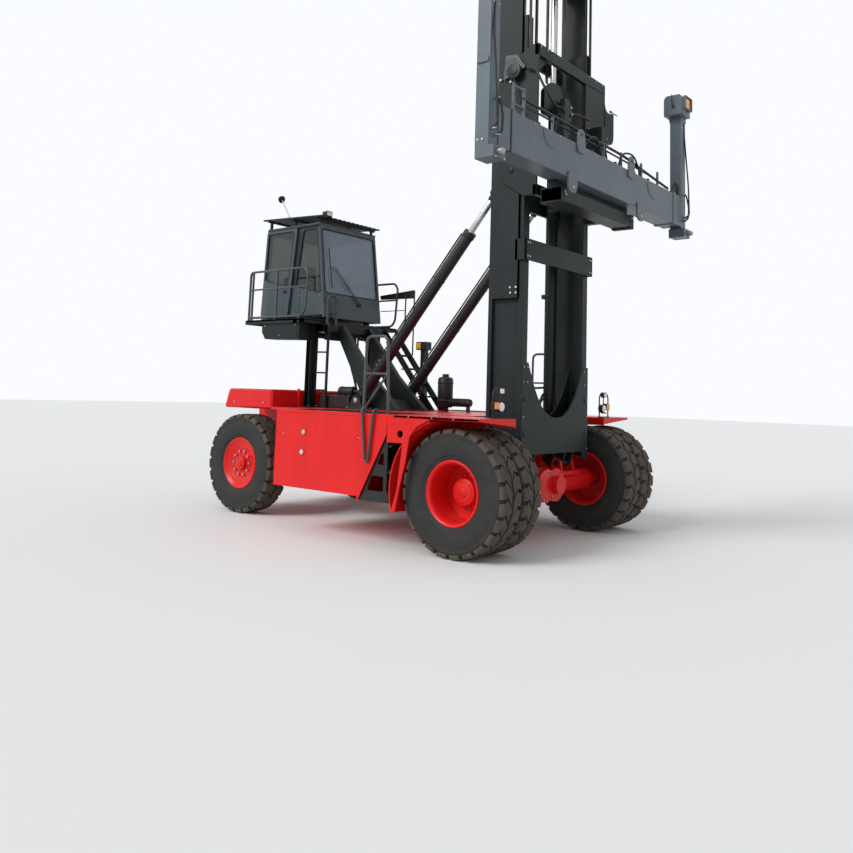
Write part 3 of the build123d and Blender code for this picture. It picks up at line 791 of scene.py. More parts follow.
def carve(piece, *cutters):
    """Cuts shapes out of a piece."""
    for cutter in cutters:
        modifier = piece.modifiers.new("cut", "BOOLEAN")
        modifier.operation = "DIFFERENCE"
        modifier.solver = "EXACT"
        modifier.object = cutter
        apply_modifiers(piece)
        bpy.data.objects.remove(cutter)
    return piece


def rounded(outline, radius, steps=4):
    """An outline with rounded corners."""
    made, count = [], len(outline)
    for k in range(count):
        before, corner, after = (Vector(outline[(k + step) % count]) for step in (-1, 0, 1))
        made += [tuple(point) for point in bent_corner(before, corner, after, radius, steps)]
    return made


def grown(outline, distance):
    """An outline with each side moved outwards."""
    pairs = list(zip(outline, outline[1:] + outline[:1]))
    turn = 1 if sum(a[0] * b[1] - b[0] * a[1] for a, b in pairs) > 0 else -1
    sides = []
    for (ax, ay), (bx, by) in pairs:
        shift = Vector((by - ay, ax - bx)).normalized() * turn * distance
        sides.append((Vector((ax, ay)) + shift, Vector((bx - ax, by - ay))))
    made = []
    for k in range(len(sides)):
        (a, r), (c, s) = sides[k - 1], sides[k]
        made.append(tuple(a + r * ((c - a).cross(s) / r.cross(s))))
    return made


def ring_of(cut, outline, width, start, end, radius):
    """A seal round an opening, width wide, cut by side_cut or front_cut."""
    outer = cut(rounded(grown(outline, width), radius + width), start, end, 0)
    inner = cut(rounded(outline, radius), start - 20, end + 20, 0)
    return round_edges(carve(outer, inner), 0.002, 1)


def arc(centre, radius, start, end, steps=10):
    """Points (a, b) on an arc in degrees."""
    angles = [radians(start + (end - start) * k / steps) for k in range(steps + 1)]
    return [(centre[0] + radius * cos(a), centre[1] + radius * sin(a)) for a in angles]


def chain_strand(x, y, low, high, leaves=(-14, -5, 5, 14)):
    """A leaf chain hanging along a mast: plates with round ends on pins."""
    pitch = 44
    plates = []
    for k, leaf in enumerate(leaves):
        foot = low + (pitch / 2 if k % 2 else 0)
        outline = arc((x, foot), 15, 180, 360, 5) + arc((x, foot + pitch), 15, 0, 180, 5)
        plates.append(side_cut(outline, y + leaf - 3.5, y + leaf + 3.5, 0))
    for step in (0, pitch / 2):
        plates.append(shaft((x, y - 20, low + step), (x, y + 20, low + step), 7, 8))
    link = weld(plates)
    repeat = link.modifiers.new("links", "ARRAY")
    repeat.use_relative_offset = False
    repeat.use_constant_offset = True
    repeat.constant_offset_displace = (0, 0, pitch / 1000)
    repeat.count = int((high - low) / pitch)
    return apply_modifiers(link)


# ---------------------------------------------------------------- fixed mast

MAST_FRONT, MAST_REAR, MAST_IN, MAST_OUT, MAST_TOP = 217, -319, 709, 847, 6950
TILT_Y, TILT_TOP, TILT_LOW = 524, (-454, 4670), (-2914, 1760)
HINGE_X, HINGE_Z, HINGE_Y = 60, 1010, 485
LIFT_X, LIFT_Y = -150, 420

mast_bay = [(MAST_IN * k / 12, 2330 - 700 * (1 - abs(k / 12) ** 2.4)) for k in range(11, -12, -1)]
front_face = [
    (-MAST_OUT, 1045), (-719, 1060), (-689, 1160), (689, 1160), (719, 1060), (MAST_OUT, 1045), (MAST_OUT, 2330),
    (MAST_IN, 2330)
]
front_face += mast_bay + [(-MAST_IN, 2330), (-MAST_OUT, 2330)]
back_face = [(-MAST_IN, 1160), (MAST_IN, 1160), (MAST_IN, 2330)] + mast_bay + [(-MAST_IN, 2330)]
tilt_ear = [(MAST_REAR + 5, 4530), (MAST_REAR + 5, 4830), (-484, 4730), (-516, 4670), (-484, 4610)]
beam = [
    slab(MAST_REAR, MAST_REAR + 62, -MAST_OUT, -MAST_IN, 1100, MAST_TOP, 7, 2),
    slab(MAST_FRONT - 62, MAST_FRONT, -MAST_OUT, -MAST_IN, 1100, MAST_TOP, 7, 2),
    slab(MAST_REAR + 58, MAST_FRONT - 58, -798, -758, 1100, MAST_TOP, 0),
    *[side_cut(tilt_ear, -TILT_Y + y, -TILT_Y + y + 32) for y in (-78, 46)],
    shaft((-454, -TILT_Y - 88, 4670), (-454, -TILT_Y + 88, 4670), 35, 24, 4),
    slab(-230, 175, -HINGE_Y - 180, -HINGE_Y + 180, 1160, 1200),
    shaft((HINGE_X, -HINGE_Y - 190, HINGE_Z), (HINGE_X, -HINGE_Y + 190, HINGE_Z), 40, 24, 5),
]
for y in (382, 588):
    beam.append(side_cut([(-40, 1185), (175, 1185), (120, 990), (60, 948), (0, 990)], -y - 22, -y + 22, 4))
for low, high in ((4500, 4850), (6650, 6900)):
    beam.append(slab(MAST_REAR, MAST_REAR + 40, -MAST_IN - 1, 0, low, high, 0))
    beam.append(side_cut(
        [(MAST_REAR + 38, low), (MAST_REAR + 38, high), (MAST_REAR + 130, low)], -MAST_IN - 1, -MAST_IN + 14, 0
    ))
for z in (1420, 1860):
    beam.append(shaft((MAST_FRONT + 24, -778, z), (MAST_FRONT + 33, -778, z), 34, 20, 3))
mast_steel = [
    with_twin(weld(beam)),
    front_cut(front_face, MAST_FRONT - 1, MAST_FRONT + 25, 4),
    front_cut(back_face, 0, 25, 3),
    slab(0, MAST_FRONT, -MAST_IN - 1, MAST_IN + 1, 1160, 1185),
]
for y in (-420, 0, 420):
    mast_steel.append(slab(20, MAST_FRONT, y - 9, y + 9, 1184, 1560, 0))
mast_lines = [
    hose(
        [
            (-200, -330, 1210), (-200, -330, 1960), (-200, -103, 2009), (-200, 300, 2024), (-200, 414, 2033),
            (-200, 640, 1985), (-160, 690, 1640)
        ],
        15, 120
    ),
    hose(
        [
            (-170, 250, 1210), (-170, 250, 1860), (-190, 330, 1930), (-210, 457, 1970), (-210, 640, 1900),
            (-170, 690, 1560)
        ],
        13, 110
    ),
    hose(
        [
            (-150, 179, 1210), (-150, 179, 1775), (-150, 296, 1892), (-150, 457, 1900), (-150, 483, 1820),
            (-150, 500, 1300)
        ],
        13, 100
    ),
]
for y, high in ((-560, 4480), (-330, 1700), (330, 1700), (560, 4480)):
    mast_lines.append(hose([(MAST_REAR + 62, y, 1230), (MAST_REAR + 62, y, high)], 11, 40, 8))
clips = [
    slab(MAST_REAR + 30, MAST_REAR + 78, y - 26, y + 26, z, z + 30, 2) for y in (-560, 560)
    for z in (1500, 2300, 3100, 3900)
]
mast_bolts = [(MAST_FRONT + 25, -819, z) for z in (1200, 1640, 2080, 2270)]
mast_bolts += [(MAST_FRONT + 25, -737, z) for z in (2080, 2270)]
fit("fixed_mast", [
    made_of(MAST_PAINT, *mast_steel),
    made_of(HOSE, *mast_lines),
    made_of(BLACK, *clips),
    made_of(BOLT, with_twin(bolts(mast_bolts, (1, 0, 0), 13, 9))),
], "mast", ["mast_frame"])

barrels = []
for z0, z1, radius in ((1200, 5560, 70), (5556, 5600, 80), (1200, 1290, 84), (3300, 3340, 78)):
    barrels.append(shaft((LIFT_X, -LIFT_Y, z0), (LIFT_X, -LIFT_Y, z1), radius, 32, 4))
brackets = [slab(MAST_REAR + 50, LIFT_X - 50, -LIFT_Y - 40, -LIFT_Y + 40, z, z + 60) for z in (3290, 4640)]
gland_bolts = [(LIFT_X + 62 * cos(a), -LIFT_Y + 62 * sin(a), 5600) for a in (0, 1.05, 2.1, 3.14, 4.19, 5.24)]
fit("lift_cylinder_barrels", [
    made_of(MAST_PAINT, with_twin(weld(barrels)), with_twin(weld(brackets))),
    made_of(BOLT, with_twin(bolts(gland_bolts, (0, 0, 1), 9, 8))),
], "mast", ["lift_barrels"])

# ---------------------------------------------------------------- moving stage, its rods and chains

STAGE_REAR, STAGE_FRONT, STAGE_OUT, STAGE_TOP, CROSSHEAD = -251, 149, 880, 8300, 8000
channel = [
    slab(STAGE_REAR, STAGE_FRONT, -STAGE_OUT, -835, 3150, STAGE_TOP, 5, 2),
    slab(STAGE_REAR, STAGE_REAR + 45, -STAGE_OUT + 2, -804, 3150, STAGE_TOP, 5, 2),
    slab(STAGE_FRONT - 45, STAGE_FRONT, -STAGE_OUT + 2, -804, 3150, STAGE_TOP, 5, 2),
    slab(STAGE_FRONT - 45, 277, -STAGE_OUT, -853, 3640, 3920, 4),
]
for z in (3180, 5200):
    channel.append(shaft((-51, -STAGE_OUT, z + 70), (-51, -STAGE_OUT - 1, z + 70), 60, 24))
stage_steel = [
    with_twin(weld(channel)),
    slab(248, 277, -STAGE_OUT, STAGE_OUT, 3640, 3920, 5, 2),
    slab(STAGE_REAR, STAGE_FRONT, -STAGE_OUT, STAGE_OUT, CROSSHEAD, CROSSHEAD + 200, 5, 2),
]
stage_bolts = [(44, -STAGE_OUT, 3288), (135, -STAGE_OUT, 3289), (52, -STAGE_OUT, 3219), (135, -STAGE_OUT, 3218)]
tie_bolts = [(277, y, z) for y in (-840, -790, 790, 840) for z in (3690, 3870)]
fit("moving_stage", [
    made_of(MAST_PAINT, *stage_steel),
    made_of(PALE_BOLT, with_twin(bolts(stage_bolts, (0, -1, 0), 15, 10)), bolts(tie_bolts, (1, 0, 0), 13, 9)),
], "stage", ["mast_stage"])
lift_rods = with_twin(shaft((LIFT_X, -LIFT_Y, 3450), (LIFT_X, -LIFT_Y, CROSSHEAD), 48, 32, 3))
fit("lift_cylinder_rods", [made_of(STEEL, lift_rods)], "stage", ["lift_rods"])
strands = [
    with_twin(chain_strand(55, -385, 5040, CROSSHEAD)),
    with_twin(chain_strand(-245, -385, 6500, CROSSHEAD)),
    with_twin(chain_strand(235, -815, 6120, CROSSHEAD, (-9, -3, 3, 9))),
]
anchors = [
    slab(33, 77, -407, -363, 5040, 5100, 3),
    slab(213, 257, -837, -793, 6120, 6180, 3),
    shaft((235, -815, 6040), (235, -815, 6125), 13, 12),
]
fit("lift_chain_strands", [
    made_of(CHAIN, *strands),
    made_of(BLACK, with_twin(weld(anchors))),
], "stage")

# ---------------------------------------------------------------- carriage

FACE = 376
FACE_FRONT = 436
CHEEK_IN, CHEEK_OUT = 886, 916
far_plate = [
    (340, 5578), (1150, 5640), (1197, 5720), (1197, 6130), (1130, 6110), (1020, 6090), (940, 6130), (900, 6260),
    (880, 6340), (340, 6340)
]
near_plate = [(-340, 5578), (-760, 5578), (-760, 5900), (-560, 6060), (-340, 6060)]
cheek = [(FACE_FRONT, 4460), (FACE_FRONT, 6478), (FACE - 60, 6478), (-120, 6200), (-120, 4700), (240, 4460)]
carriage_side = [
    slab(FACE, 634, -560, -450, 4320, 5700, 5, 2),
    side_cut(cheek, -CHEEK_OUT, -CHEEK_IN, 4),
    slab(76, FACE + 4, -454, -355, 4950, 5030),
    front_cut([(-620, 6328), (-620, 6400), (-890, 6400), (-890, 6123), (-790, 6180)], FACE, FACE + 20),
]
for z in (4760, 6000):
    carriage_side.append(shaft((30, -880.5, z + 75), (30, -888, z + 75), 72, 28, 0))
    carriage_side.append(shaft((30, -CHEEK_OUT, z + 75), (30, -CHEEK_OUT - 12, z + 75), 46, 20, 3))
carriage_steel = [
    with_twin(weld(carriage_side)),
    slab(FACE, FACE_FRONT, -CHEEK_OUT, CHEEK_OUT, 4460, 4600, 5, 2),
    slab(FACE, FACE_FRONT, -CHEEK_OUT, CHEEK_OUT, 6320, 6478, 5, 2),
    front_cut(rounded(far_plate, 40, 3), FACE, FACE_FRONT, 4),
    front_cut(rounded(near_plate, 40, 3), FACE, FACE_FRONT, 4),
    slab(560, 857, -1000, 1000, 4320, 4490, 7, 2),
    slab(660, 760, -1000, 1000, 4489, 4595, 4),
]
for y in (-1000, -940, 910, 970):
    carriage_steel.append(front_cut([(y, 4300), (y + 30, 4300), (y + 30, 4500), (y, 4500)], 556, 861, 3))
perforated = side_cut(rounded([(-58, 6398), (126, 6376), (262, 6176), (-86, 6065)], 20, 3), -953, -947, 0)
holes = [
    shaft((x, -960, z), (x, -940, z), 8, 8) for x in range(-50, 200, 34)
    for z in range(6120, 6370, 34) if z < 6330 - max(0, x - 90) * 1.3 and z > 6105 + (x + 86) * 0.32
]
perforated = carve(perforated, weld(holes))
valve = [
    slab(446, 560, -440, -260, 5560, 5800, 6, 2),
    slab(436, 500, -470, -230, 5540, 5580, 4),
    shaft((560, -350, 5640), (600, -350, 5640), 34, 20, 3),
    shaft((560, -350, 5730), (590, -350, 5730), 28, 20, 3),
    slab(470, 540, -420, -280, 5800, 5860, 4),
]
fittings = [
    shaft((-135, -958, 6076), (-135, -916, 6076), 19, 16, 3),
    shaft((26, -958, 6020), (26, -916, 6020), 17, 16, 3),
    shaft((600, -350, 5640), (622, -350, 5640), 17, 6),
    shaft((590, -350, 5730), (612, -350, 5730), 14, 6),
    shaft((520, -440, 5700), (520, -476, 5700), 14, 6),
    shaft((376, 1230, 6177), (376, 1419, 6177), 11, 12, 2),
    shaft((376, 1196, 6177), (376, 1240, 6177), 20, 6),
]
carriage_lines = [
    hose([(286, -950, 6139), (430, -985, 6120), (600, -995, 5780), (600, -760, 5640), (560, -453, 5679)], 17, 150),
    hose([(560, -453, 5650), (600, -120, 5690), (590, 216, 5724), (470, 330, 5790)], 15, 150),
    hose(
        [
            (107, -960, 6138), (107, -1000, 5900), (250, -1010, 5500), (440, -1000, 5200), (520, -900, 5000),
            (600, -560, 4900)
        ],
        15, 160
    ),
    hose([(520, -476, 5700), (560, -640, 5500), (560, -700, 5100), (600, -640, 4700)], 13, 120),
    hose([(450, 480, 5700), (640, 520, 5500), (660, 560, 5200), (650, 700, 5090)], 14, 120),
    hose([(450, -240, 5560), (520, -180, 5300), (560, -60, 5100)], 13, 90),
]
carriage_bolts = [(857, -922, 4440), (857, -898, 4412), (857, 953, 4450), (857, 986, 4405)]
face_bolts = [(FACE_FRONT, y, 6440) for y in (-860, -700, 420, 620, 820)]
face_bolts += [(FACE_FRONT, y, 5690) for y in (420, 700, 980)]
fit("lifting_carriage", [
    made_of(MAST_PAINT, *carriage_steel),
    made_of(RAIL_PAINT, perforated),
    made_of(
        BLACK, shaft((107, -953, 6138), (107, -1010, 6138), 104, 40, 5),
        shaft((107, -1008, 6138), (107, -1018, 6138), 60, 32, 3), *valve
    ),
    made_of(BOLT, *fittings),
    made_of(HOSE, *carriage_lines),
    made_of(PALE_BOLT, bolts(carriage_bolts, (1, 0, 0), 17, 12)),
    made_of(BOLT, bolts(face_bolts, (1, 0, 0), 14, 10)),
], "lift_carriage", ["carriage"])

# ---------------------------------------------------------------- spreader and its arms

BEAM_BACK, BEAM_FRONT, BEAM_LOW, BEAM_TOP, BEAM_HALF = 640, 947, 4596, 5073, 2260
box_beam = carve(
    slab(BEAM_BACK, BEAM_FRONT, -BEAM_HALF, BEAM_HALF, BEAM_LOW, BEAM_TOP, 0),
    slab(BEAM_BACK + 16, BEAM_FRONT - 16, -BEAM_HALF - 1, BEAM_HALF + 1, BEAM_LOW + 16, BEAM_TOP - 16, 0),
)
spreader_steel = [round_edges(box_beam, 0.007, 2)]
for low in (-BEAM_HALF, BEAM_HALF - 90):
    collar = carve(
        slab(BEAM_BACK - 12, BEAM_FRONT + 12, low, low + 90, BEAM_LOW - 12, BEAM_TOP + 12, 0),
        slab(BEAM_BACK + 10, BEAM_FRONT - 10, low - 1, low + 91, BEAM_LOW + 10, BEAM_TOP - 10, 0),
    )
    spreader_steel.append(round_edges(collar, 0.004, 1))
for y in (-915, 1004):
    lug = [(y - 110, 4666), (y - 110, 4476), (y - 60, 4410), (y + 60, 4410), (y + 110, 4476), (y + 110, 4666)]
    spreader_steel.append(front_cut(rounded(lug, 50), BEAM_FRONT - 1, BEAM_FRONT + 24, 3))
for y in (-706, 711):
    hook = [(y - 100, 4963), (y + 100, 4963), (y + 86, 5190), (y + 44, 5273), (y - 44, 5273), (y - 86, 5190)]
    plate = carve(
        front_cut(rounded(hook, 60), BEAM_FRONT - 1, BEAM_FRONT + 24, 0),
        shaft((BEAM_FRONT - 20, y, 5200), (BEAM_FRONT + 40, y, 5200), 26, 24)
    )
    spreader_steel.append(round_edges(plate, 0.003, 1))
for y in (-2100, -1880, -1240, -600, 80, 600, 1240, 1800):
    top = 5460 if y < -1800 else 5320
    spreader_steel.append(slab(842, 872, y - 15, y + 15, BEAM_TOP - 1, top, 3))
for y, z in ((-2115, 5200), (-2115, 5420)):
    spreader_steel.append(slab(846, 868, y, y + 250, z, z + 24, 3))
for centre in ((-1395, 5045), (1454, 5021)):
    ring = hose([(BEAM_FRONT + 2, y, z) for y, z in arc(centre, 190, 178, 292, 12)], 9, 5, 8)
    spreader_steel.append(ring)
edge_bolts = [(BEAM_FRONT, y, 5050) for y in (-1775, -1201, -904, -369, -53, 367, 905, 1200, 1775)]
rack_lines = [
    hose([(857, -1900, 5335), (857, -1841, 5327), (857, 722, 5287), (857, 1400, 5220), (857, 2180, 5150)], 19, 200),
    hose([(857, -1860, 5250), (857, -600, 5240), (857, 600, 5225), (857, 1700, 5200)], 13, 100),
    hose([(820, -1700, 5110), (820, 0, 5120), (820, 1500, 5110)], 13, 100),
    hose([(830, 560, 5110), (860, 640, 5330), (900, 900, 5360), (880, 1120, 5200), (860, 1180, 5085)], 14, 130),
    hose([(830, -420, 5110), (880, -330, 5300), (880, -120, 5330), (860, 40, 5100)], 13, 110),
]
fit("spreader_main_beam", [
    made_of(SLATE, *spreader_steel),
    made_of(HOSE, *rack_lines),
    made_of(BOLT, bolts(edge_bolts, (1, 0, 0), 11, 8)),
    made_of(PALE_BOLT, bolts([(BEAM_FRONT + 24, -915, 4480), (BEAM_FRONT + 24, 1004, 4480)], (1, 0, 0), 20, 14)),
    made_of(BLACK, *[slab(836, 878, y - 22, y + 22, 5080, 5140, 3) for y in (-1560, -900, -240, 420, 1000, 1460)]),
], "spreader", ["spreader_beam"])


def end_of_spreader(x0, x1):
    """The right arm with its post, lamp head and corner lock."""
    steel = [
        slab(x0, x1, -2506, 1500, 4618, 5051, 4),
        slab(BEAM_BACK, BEAM_FRONT, -2506, -2272, BEAM_LOW, BEAM_TOP, 7, 2),
        slab(752, 937, -2680, -2505, 4560, 6390, 10, 3),
        front_cut([(-2506, 4596), (-2506, 5073), (-2540, 5073), (-2540, 4596)], 760, 930, 3),
        side_cut([(700, 6380), (1010, 6380), (1010, 6640), (960, 6710), (740, 6710), (700, 6660)], -2700, -2385, 8),
        slab(755, 1010, -2680, -2445, 4430, 4570, 9, 2),
        slab(744, 945, -2690, -2495, 6300, 6384, 5),
        slab(770, 925, -2700, -2660, 5500, 5560, 4),
        shaft((1008, -2592, 4500), (1014, -2592, 4500), 66, 28, 2),
    ]
    lamp_frame = carve(slab(1008, 1060, -2670, -2415, 6470, 6680, 0), slab(1020, 1070, -2655, -2430, 6485, 6665, 0))
    steel.append(round_edges(lamp_frame, 0.004, 1))
    fittings = [
        shaft((1000, -2592, 4500), (1072, -2592, 4500), 38, 28, 0),
        shaft((1070, -2592, 4500), (1090, -2592, 4500), 38, 28, 0, 20),
    ]
    for y, z, length in ((-2560, 4700, 60), (-2620, 4760, 50), (-2560, 5120, 44)):
        fittings.append(shaft((937, y, z), (937 + length, y, z), 15, 6))
        fittings.append(shaft((937 + length, y, z), (950 + length, y, z), 10, 12))
    lines = [
        hose(
            [(945, -2560, 4700), (1030, -2560, 4720), (1040, -2560, 4900), (1000, -2560, 5100), (945, -2560, 5120)],
            13, 70
        ),
        hose(
            [(945, -2620, 4760), (1020, -2630, 4800), (1000, -2640, 5300), (950, -2640, 5900), (930, -2600, 6360)],
            12, 120
        ),
        hose([(870, -2495, 5090), (880, -2480, 5260), (860, -2440, 5300), (840, -2330, 5120)], 14, 80),
    ]
    side_bolts = [(808, -2680, 5516), (860, -2680, 4640), (800, -2680, 4640)]
    front_bolts = [(937, -2640, 6200), (937, -2545, 6200)]
    front_bolts += [(1010, -2640, 4440), (1010, -2480, 4440), (1010, -2480, 4552)]
    return weld([
        made_of(SLATE, *steel),
        made_of(BOLT, *fittings),
        made_of(HOSE, *lines),
        made_of(PALE_BOLT, bolts(side_bolts, (0, -1, 0), 14, 10), bolts(front_bolts, (1, 0, 0), 12, 9)),
        made_of(AMBER, slab(1018, 1034, -2650, -2435, 6490, 6660, 6, 2)),
        made_of(RED_LENS, shaft((1010, -2400, 6430), (1020, -2400, 6430), 16, 16, 3)),
        made_of(
            BLACK, slab(760, 1000, -2699, -2600, 6708, 6709.9, 0),
            shaft((860, -2400, 6520), (860, -2350, 6520), 20, 16, 3),
            hose([(860, -2352, 6520), (860, -2330, 6600), (860, -2330, 6700)], 8, 30, 8)
        ),
    ])


for side, body, start, end in (("right", "right_end", 662, 790), ("left", "left_end", 797, 925)):
    arm = end_of_spreader(start, end)
    if side == "left":
        arm = copies(arm, [MIRROR])[0]
    fit(f"{side}_spreader_arm", [arm], body, [f"{side}_arm"])

# ---------------------------------------------------------------- tilt cylinders, made on the right side and mirrored

TILT_RUN = Vector((TILT_TOP[0] - TILT_LOW[0], 0, TILT_TOP[1] - TILT_LOW[1]))
TILT_UP = TILT_RUN.normalized()
TILT_LENGTH = TILT_RUN.length


def along(distance, off=0, y=-TILT_Y):
    """A point on the tilt cylinder's axis, measured from its lower pin, or off to its upper side."""
    return (
        TILT_LOW[0] + TILT_UP.x * distance - TILT_UP.z * off, y, TILT_LOW[1] + TILT_UP.z * distance + TILT_UP.x * off
    )


def eye(x, z, outer, inner, half):
    """A turned eye about a tilt cylinder's pin."""
    section = [
        (-half, inner), (-half, outer - 6), (-half + 6, outer), (half - 6, outer), (half, outer - 6), (half, inner)
    ]
    return smooth(spun([(a / 1000, r / 1000) for a, r in section], at(x, -TILT_Y, z), 32), 35)


barrel_parts = [
    eye(*TILT_LOW, 75, 40, 45),
    shaft(along(60), along(215), 46, 24),
    shaft(along(200), along(3105), 82, 40, 5),
    shaft(along(3060), along(3150), 92, 40, 6),
    shaft(along(196), along(236), 90, 32, 5),
]
clamp_bands = [shaft(along(d), along(d + 34), 86, 32, 2) for d in (700, 1500, 2300)]
barrel_lines = [
    hose(
        [along(250, 96), along(250, 118), along(330, 122), along(2950, 122), along(3040, 118), along(3040, 90)], 12,
        30
    ),
    hose(
        [
            along(290, 0, -TILT_Y - 84), along(290, 0, -TILT_Y - 112), along(230, 0, -TILT_Y - 114),
            along(60, 30, -TILT_Y - 100)
        ],
        11, 30
    ),
]
clips = [hose([along(d + 10, 80), along(d + 10, 128)], 7, 1, 8) for d in (700, 1500, 2300)]
rod_parts = [eye(*TILT_TOP, 70, 37, 40), shaft(along(TILT_LENGTH - 130), along(TILT_LENGTH - 55), 60, 28, 5)]
barrel_whole = weld(
    [made_of(BLACK, *barrel_parts, *clamp_bands), made_of(HOSE, *barrel_lines), made_of(BOLT, *clips)]
)
rod_whole = weld([made_of(STEEL, shaft(along(2150), along(TILT_LENGTH - 60), 45, 32, 2)), made_of(BLACK, *rod_parts)])
fit_both(barrel_whole, "{}_tilt_cylinder_barrel", "{}_tilt_cylinder", "{}_tilt_barrel")
fit_both(rod_whole, "{}_tilt_cylinder_rod", "{}_tilt_piston", "{}_tilt_rod")


# ---------------------------------------------------------------- cab

CAB_HALF, CAB_FRONT, CAB_REAR, CAB_FLOOR, CAB_TOP, CAB_WALL = 654, -3632, -5186, 3053, 4586, 50
SILL, HEAD = 3460, 4500
INSIDE = CAB_HALF - CAB_WALL


def cab_front(z):
    """The front face's place at a height."""
    return CAB_FRONT - 220 * (z - CAB_FLOOR) / (CAB_TOP - CAB_FLOOR)


def cab_rear(z):
    """The rear face's place at a height."""
    return CAB_REAR + 70 * (z - CAB_FLOOR) / (CAB_TOP - CAB_FLOOR)


def leant(piece, face):
    """Leans an upright piece made at x = 0 so that it lies along a sloping face of the cab."""
    for corner in piece.data.vertices:
        corner.co.x += face(corner.co.z * 1000) / 1000
    return piece


def cab_outline(inset):
    """The cab's side outline, inset by a wall."""
    low, high = CAB_FLOOR + inset, CAB_TOP - inset
    return [
        (cab_rear(low) + inset, low), (cab_front(low) - inset, low), (cab_front(high) - inset, high),
        (cab_rear(high) + inset, high)
    ]


door_opening = [(cab_rear(3125) + 80, 3125), (-4520, 3125), (-4380, HEAD), (cab_rear(HEAD) + 80, HEAD)]
side_window = [(-4345, 3590), (-3760, SILL), (-3885, HEAD), (-4215, HEAD)]
left_window = [(-5081, 3600), (cab_front(SILL) - 90, SILL), (cab_front(HEAD) - 90, HEAD), (-5040, HEAD)]
windscreen = [(-594, SILL), (594, SILL), (594, HEAD), (-594, HEAD)]
rear_window = [(-574, 3640), (574, 3640), (574, HEAD), (-574, HEAD)]
cab_body = carve(
    side_cut(cab_outline(0), -CAB_HALF, CAB_HALF, 0),
    side_cut(cab_outline(CAB_WALL), -INSIDE, INSIDE, 0),
    side_cut(rounded(door_opening, 60), -CAB_HALF - 10, -INSIDE + 10, 0),
    side_cut(rounded(side_window, 50), -CAB_HALF - 10, -INSIDE + 10, 0),
    side_cut(rounded(left_window, 50), INSIDE - 10, CAB_HALF + 10, 0),
    leant(front_cut(rounded(windscreen, 60), -80, 20, 0), cab_front),
    leant(front_cut(rounded(rear_window, 60), -20, 80, 0), cab_rear),
)
track_rear = cab_rear(3095) + 110
tracks = [
    slab(track_rear, CAB_FRONT - 60, -702, -CAB_HALF + 1, 3070, 3094, 2),
    slab(track_rear, cab_front(4545) - 10, -702, -CAB_HALF + 1, 4546, 4570, 2),
]
gutter = [
    slab(cab_rear(4590) - 4, cab_front(4590) + 10, -CAB_HALF - 6, -CAB_HALF + 30, 4576, 4600, 5, 2),
    slab(cab_rear(4590) - 4, cab_front(4590) + 10, CAB_HALF - 30, CAB_HALF + 6, 4576, 4600, 5, 2),
    slab(cab_front(4590) - 30, cab_front(4590) + 14, -CAB_HALF, CAB_HALF, 4576, 4600, 5, 2),
    slab(cab_rear(4590) - 6, cab_rear(4590) + 40, -CAB_HALF, CAB_HALF, 4576, 4600, 5, 2),
    slab(-5090, -3900, -600, 600, 4585, 4606, 8, 2),
]
seams = [side_cut([(-4240, 3062), (-4232, 3062), (-4232, 3560), (-4240, 3560)], -CAB_HALF - 2, -CAB_HALF + 2, 0)]
cab_bolts = [(x, -CAB_HALF, z) for x, z in ((-4250, 3120), (-3720, 3120), (-4250, 3420), (-3760, 3400))]
fit("cab_body", [
    made_of(CAB_GREY, round_edges(cab_body, 0.012, 3), *gutter),
    made_of(BLACK, *tracks, *seams),
    made_of(BOLT, bolts(cab_bolts, (0, -1, 0), 9, 6)),
], "chassis", ["cab_shell"])
pillar = [(-4490, 3600), (-4350, 3592), (-4222, 4498), (-4370, 4498)]
trims = [
    side_cut(rounded(pillar, 20), -CAB_HALF - 3, -CAB_HALF + 1, 0),
    ring_of(side_cut, side_window, 16, -CAB_HALF - 5, -CAB_HALF + 24, 44),
    ring_of(side_cut, left_window, 16, CAB_HALF - 24, CAB_HALF + 5, 44),
    leant(ring_of(front_cut, windscreen, 17, -26, 6, 52), cab_front),
    leant(ring_of(front_cut, rear_window, 16, -6, 26, 52), cab_rear),
]
fit("window_seals", [made_of(SEAL, *trims)], "chassis")
panes = [
    (side_cut(rounded(grown(side_window, 6), 50), -CAB_HALF + 14, -CAB_HALF + 20, 0), SIDE_GLASS),
    (side_cut(rounded(grown(left_window, 6), 50), CAB_HALF - 20, CAB_HALF - 14, 0), SIDE_GLASS),
    (leant(front_cut(rounded(grown(windscreen, 6), 60), -20, -14, 0), cab_front), FRONT_GLASS_PAINTED_SKY),
    (leant(front_cut(rounded(grown(rear_window, 6), 60), 14, 20, 0), cab_rear), SIDE_GLASS),
]
fit("cab_window_panes", [made_of(material, pane) for pane, material in panes], "chassis")


def on_screen(y, z, out=20):
    """A point in front of the windscreen."""
    return (cab_front(z) + out, y, z)


wiper = [
    hose([on_screen(158, 3318, 28), on_screen(-383, 3885, 30), on_screen(-470, 3880, 24)], 6, 60, 8),
    hose([on_screen(120, 3318, 28), on_screen(-400, 3850, 30), on_screen(-470, 3850, 24)], 5, 60, 8),
    hose([on_screen(-485, 4198, 14), on_screen(-458, 3540, 14)], 8, 10, 8),
    shaft(on_screen(158, 3318, -4), on_screen(158, 3318, 36), 26, 20, 3),
    shaft(on_screen(120, 3318, -4), on_screen(120, 3318, 34), 16, 20, 3),
]
fit("windscreen_wiper", [made_of(BLACK, *wiper)], "chassis")

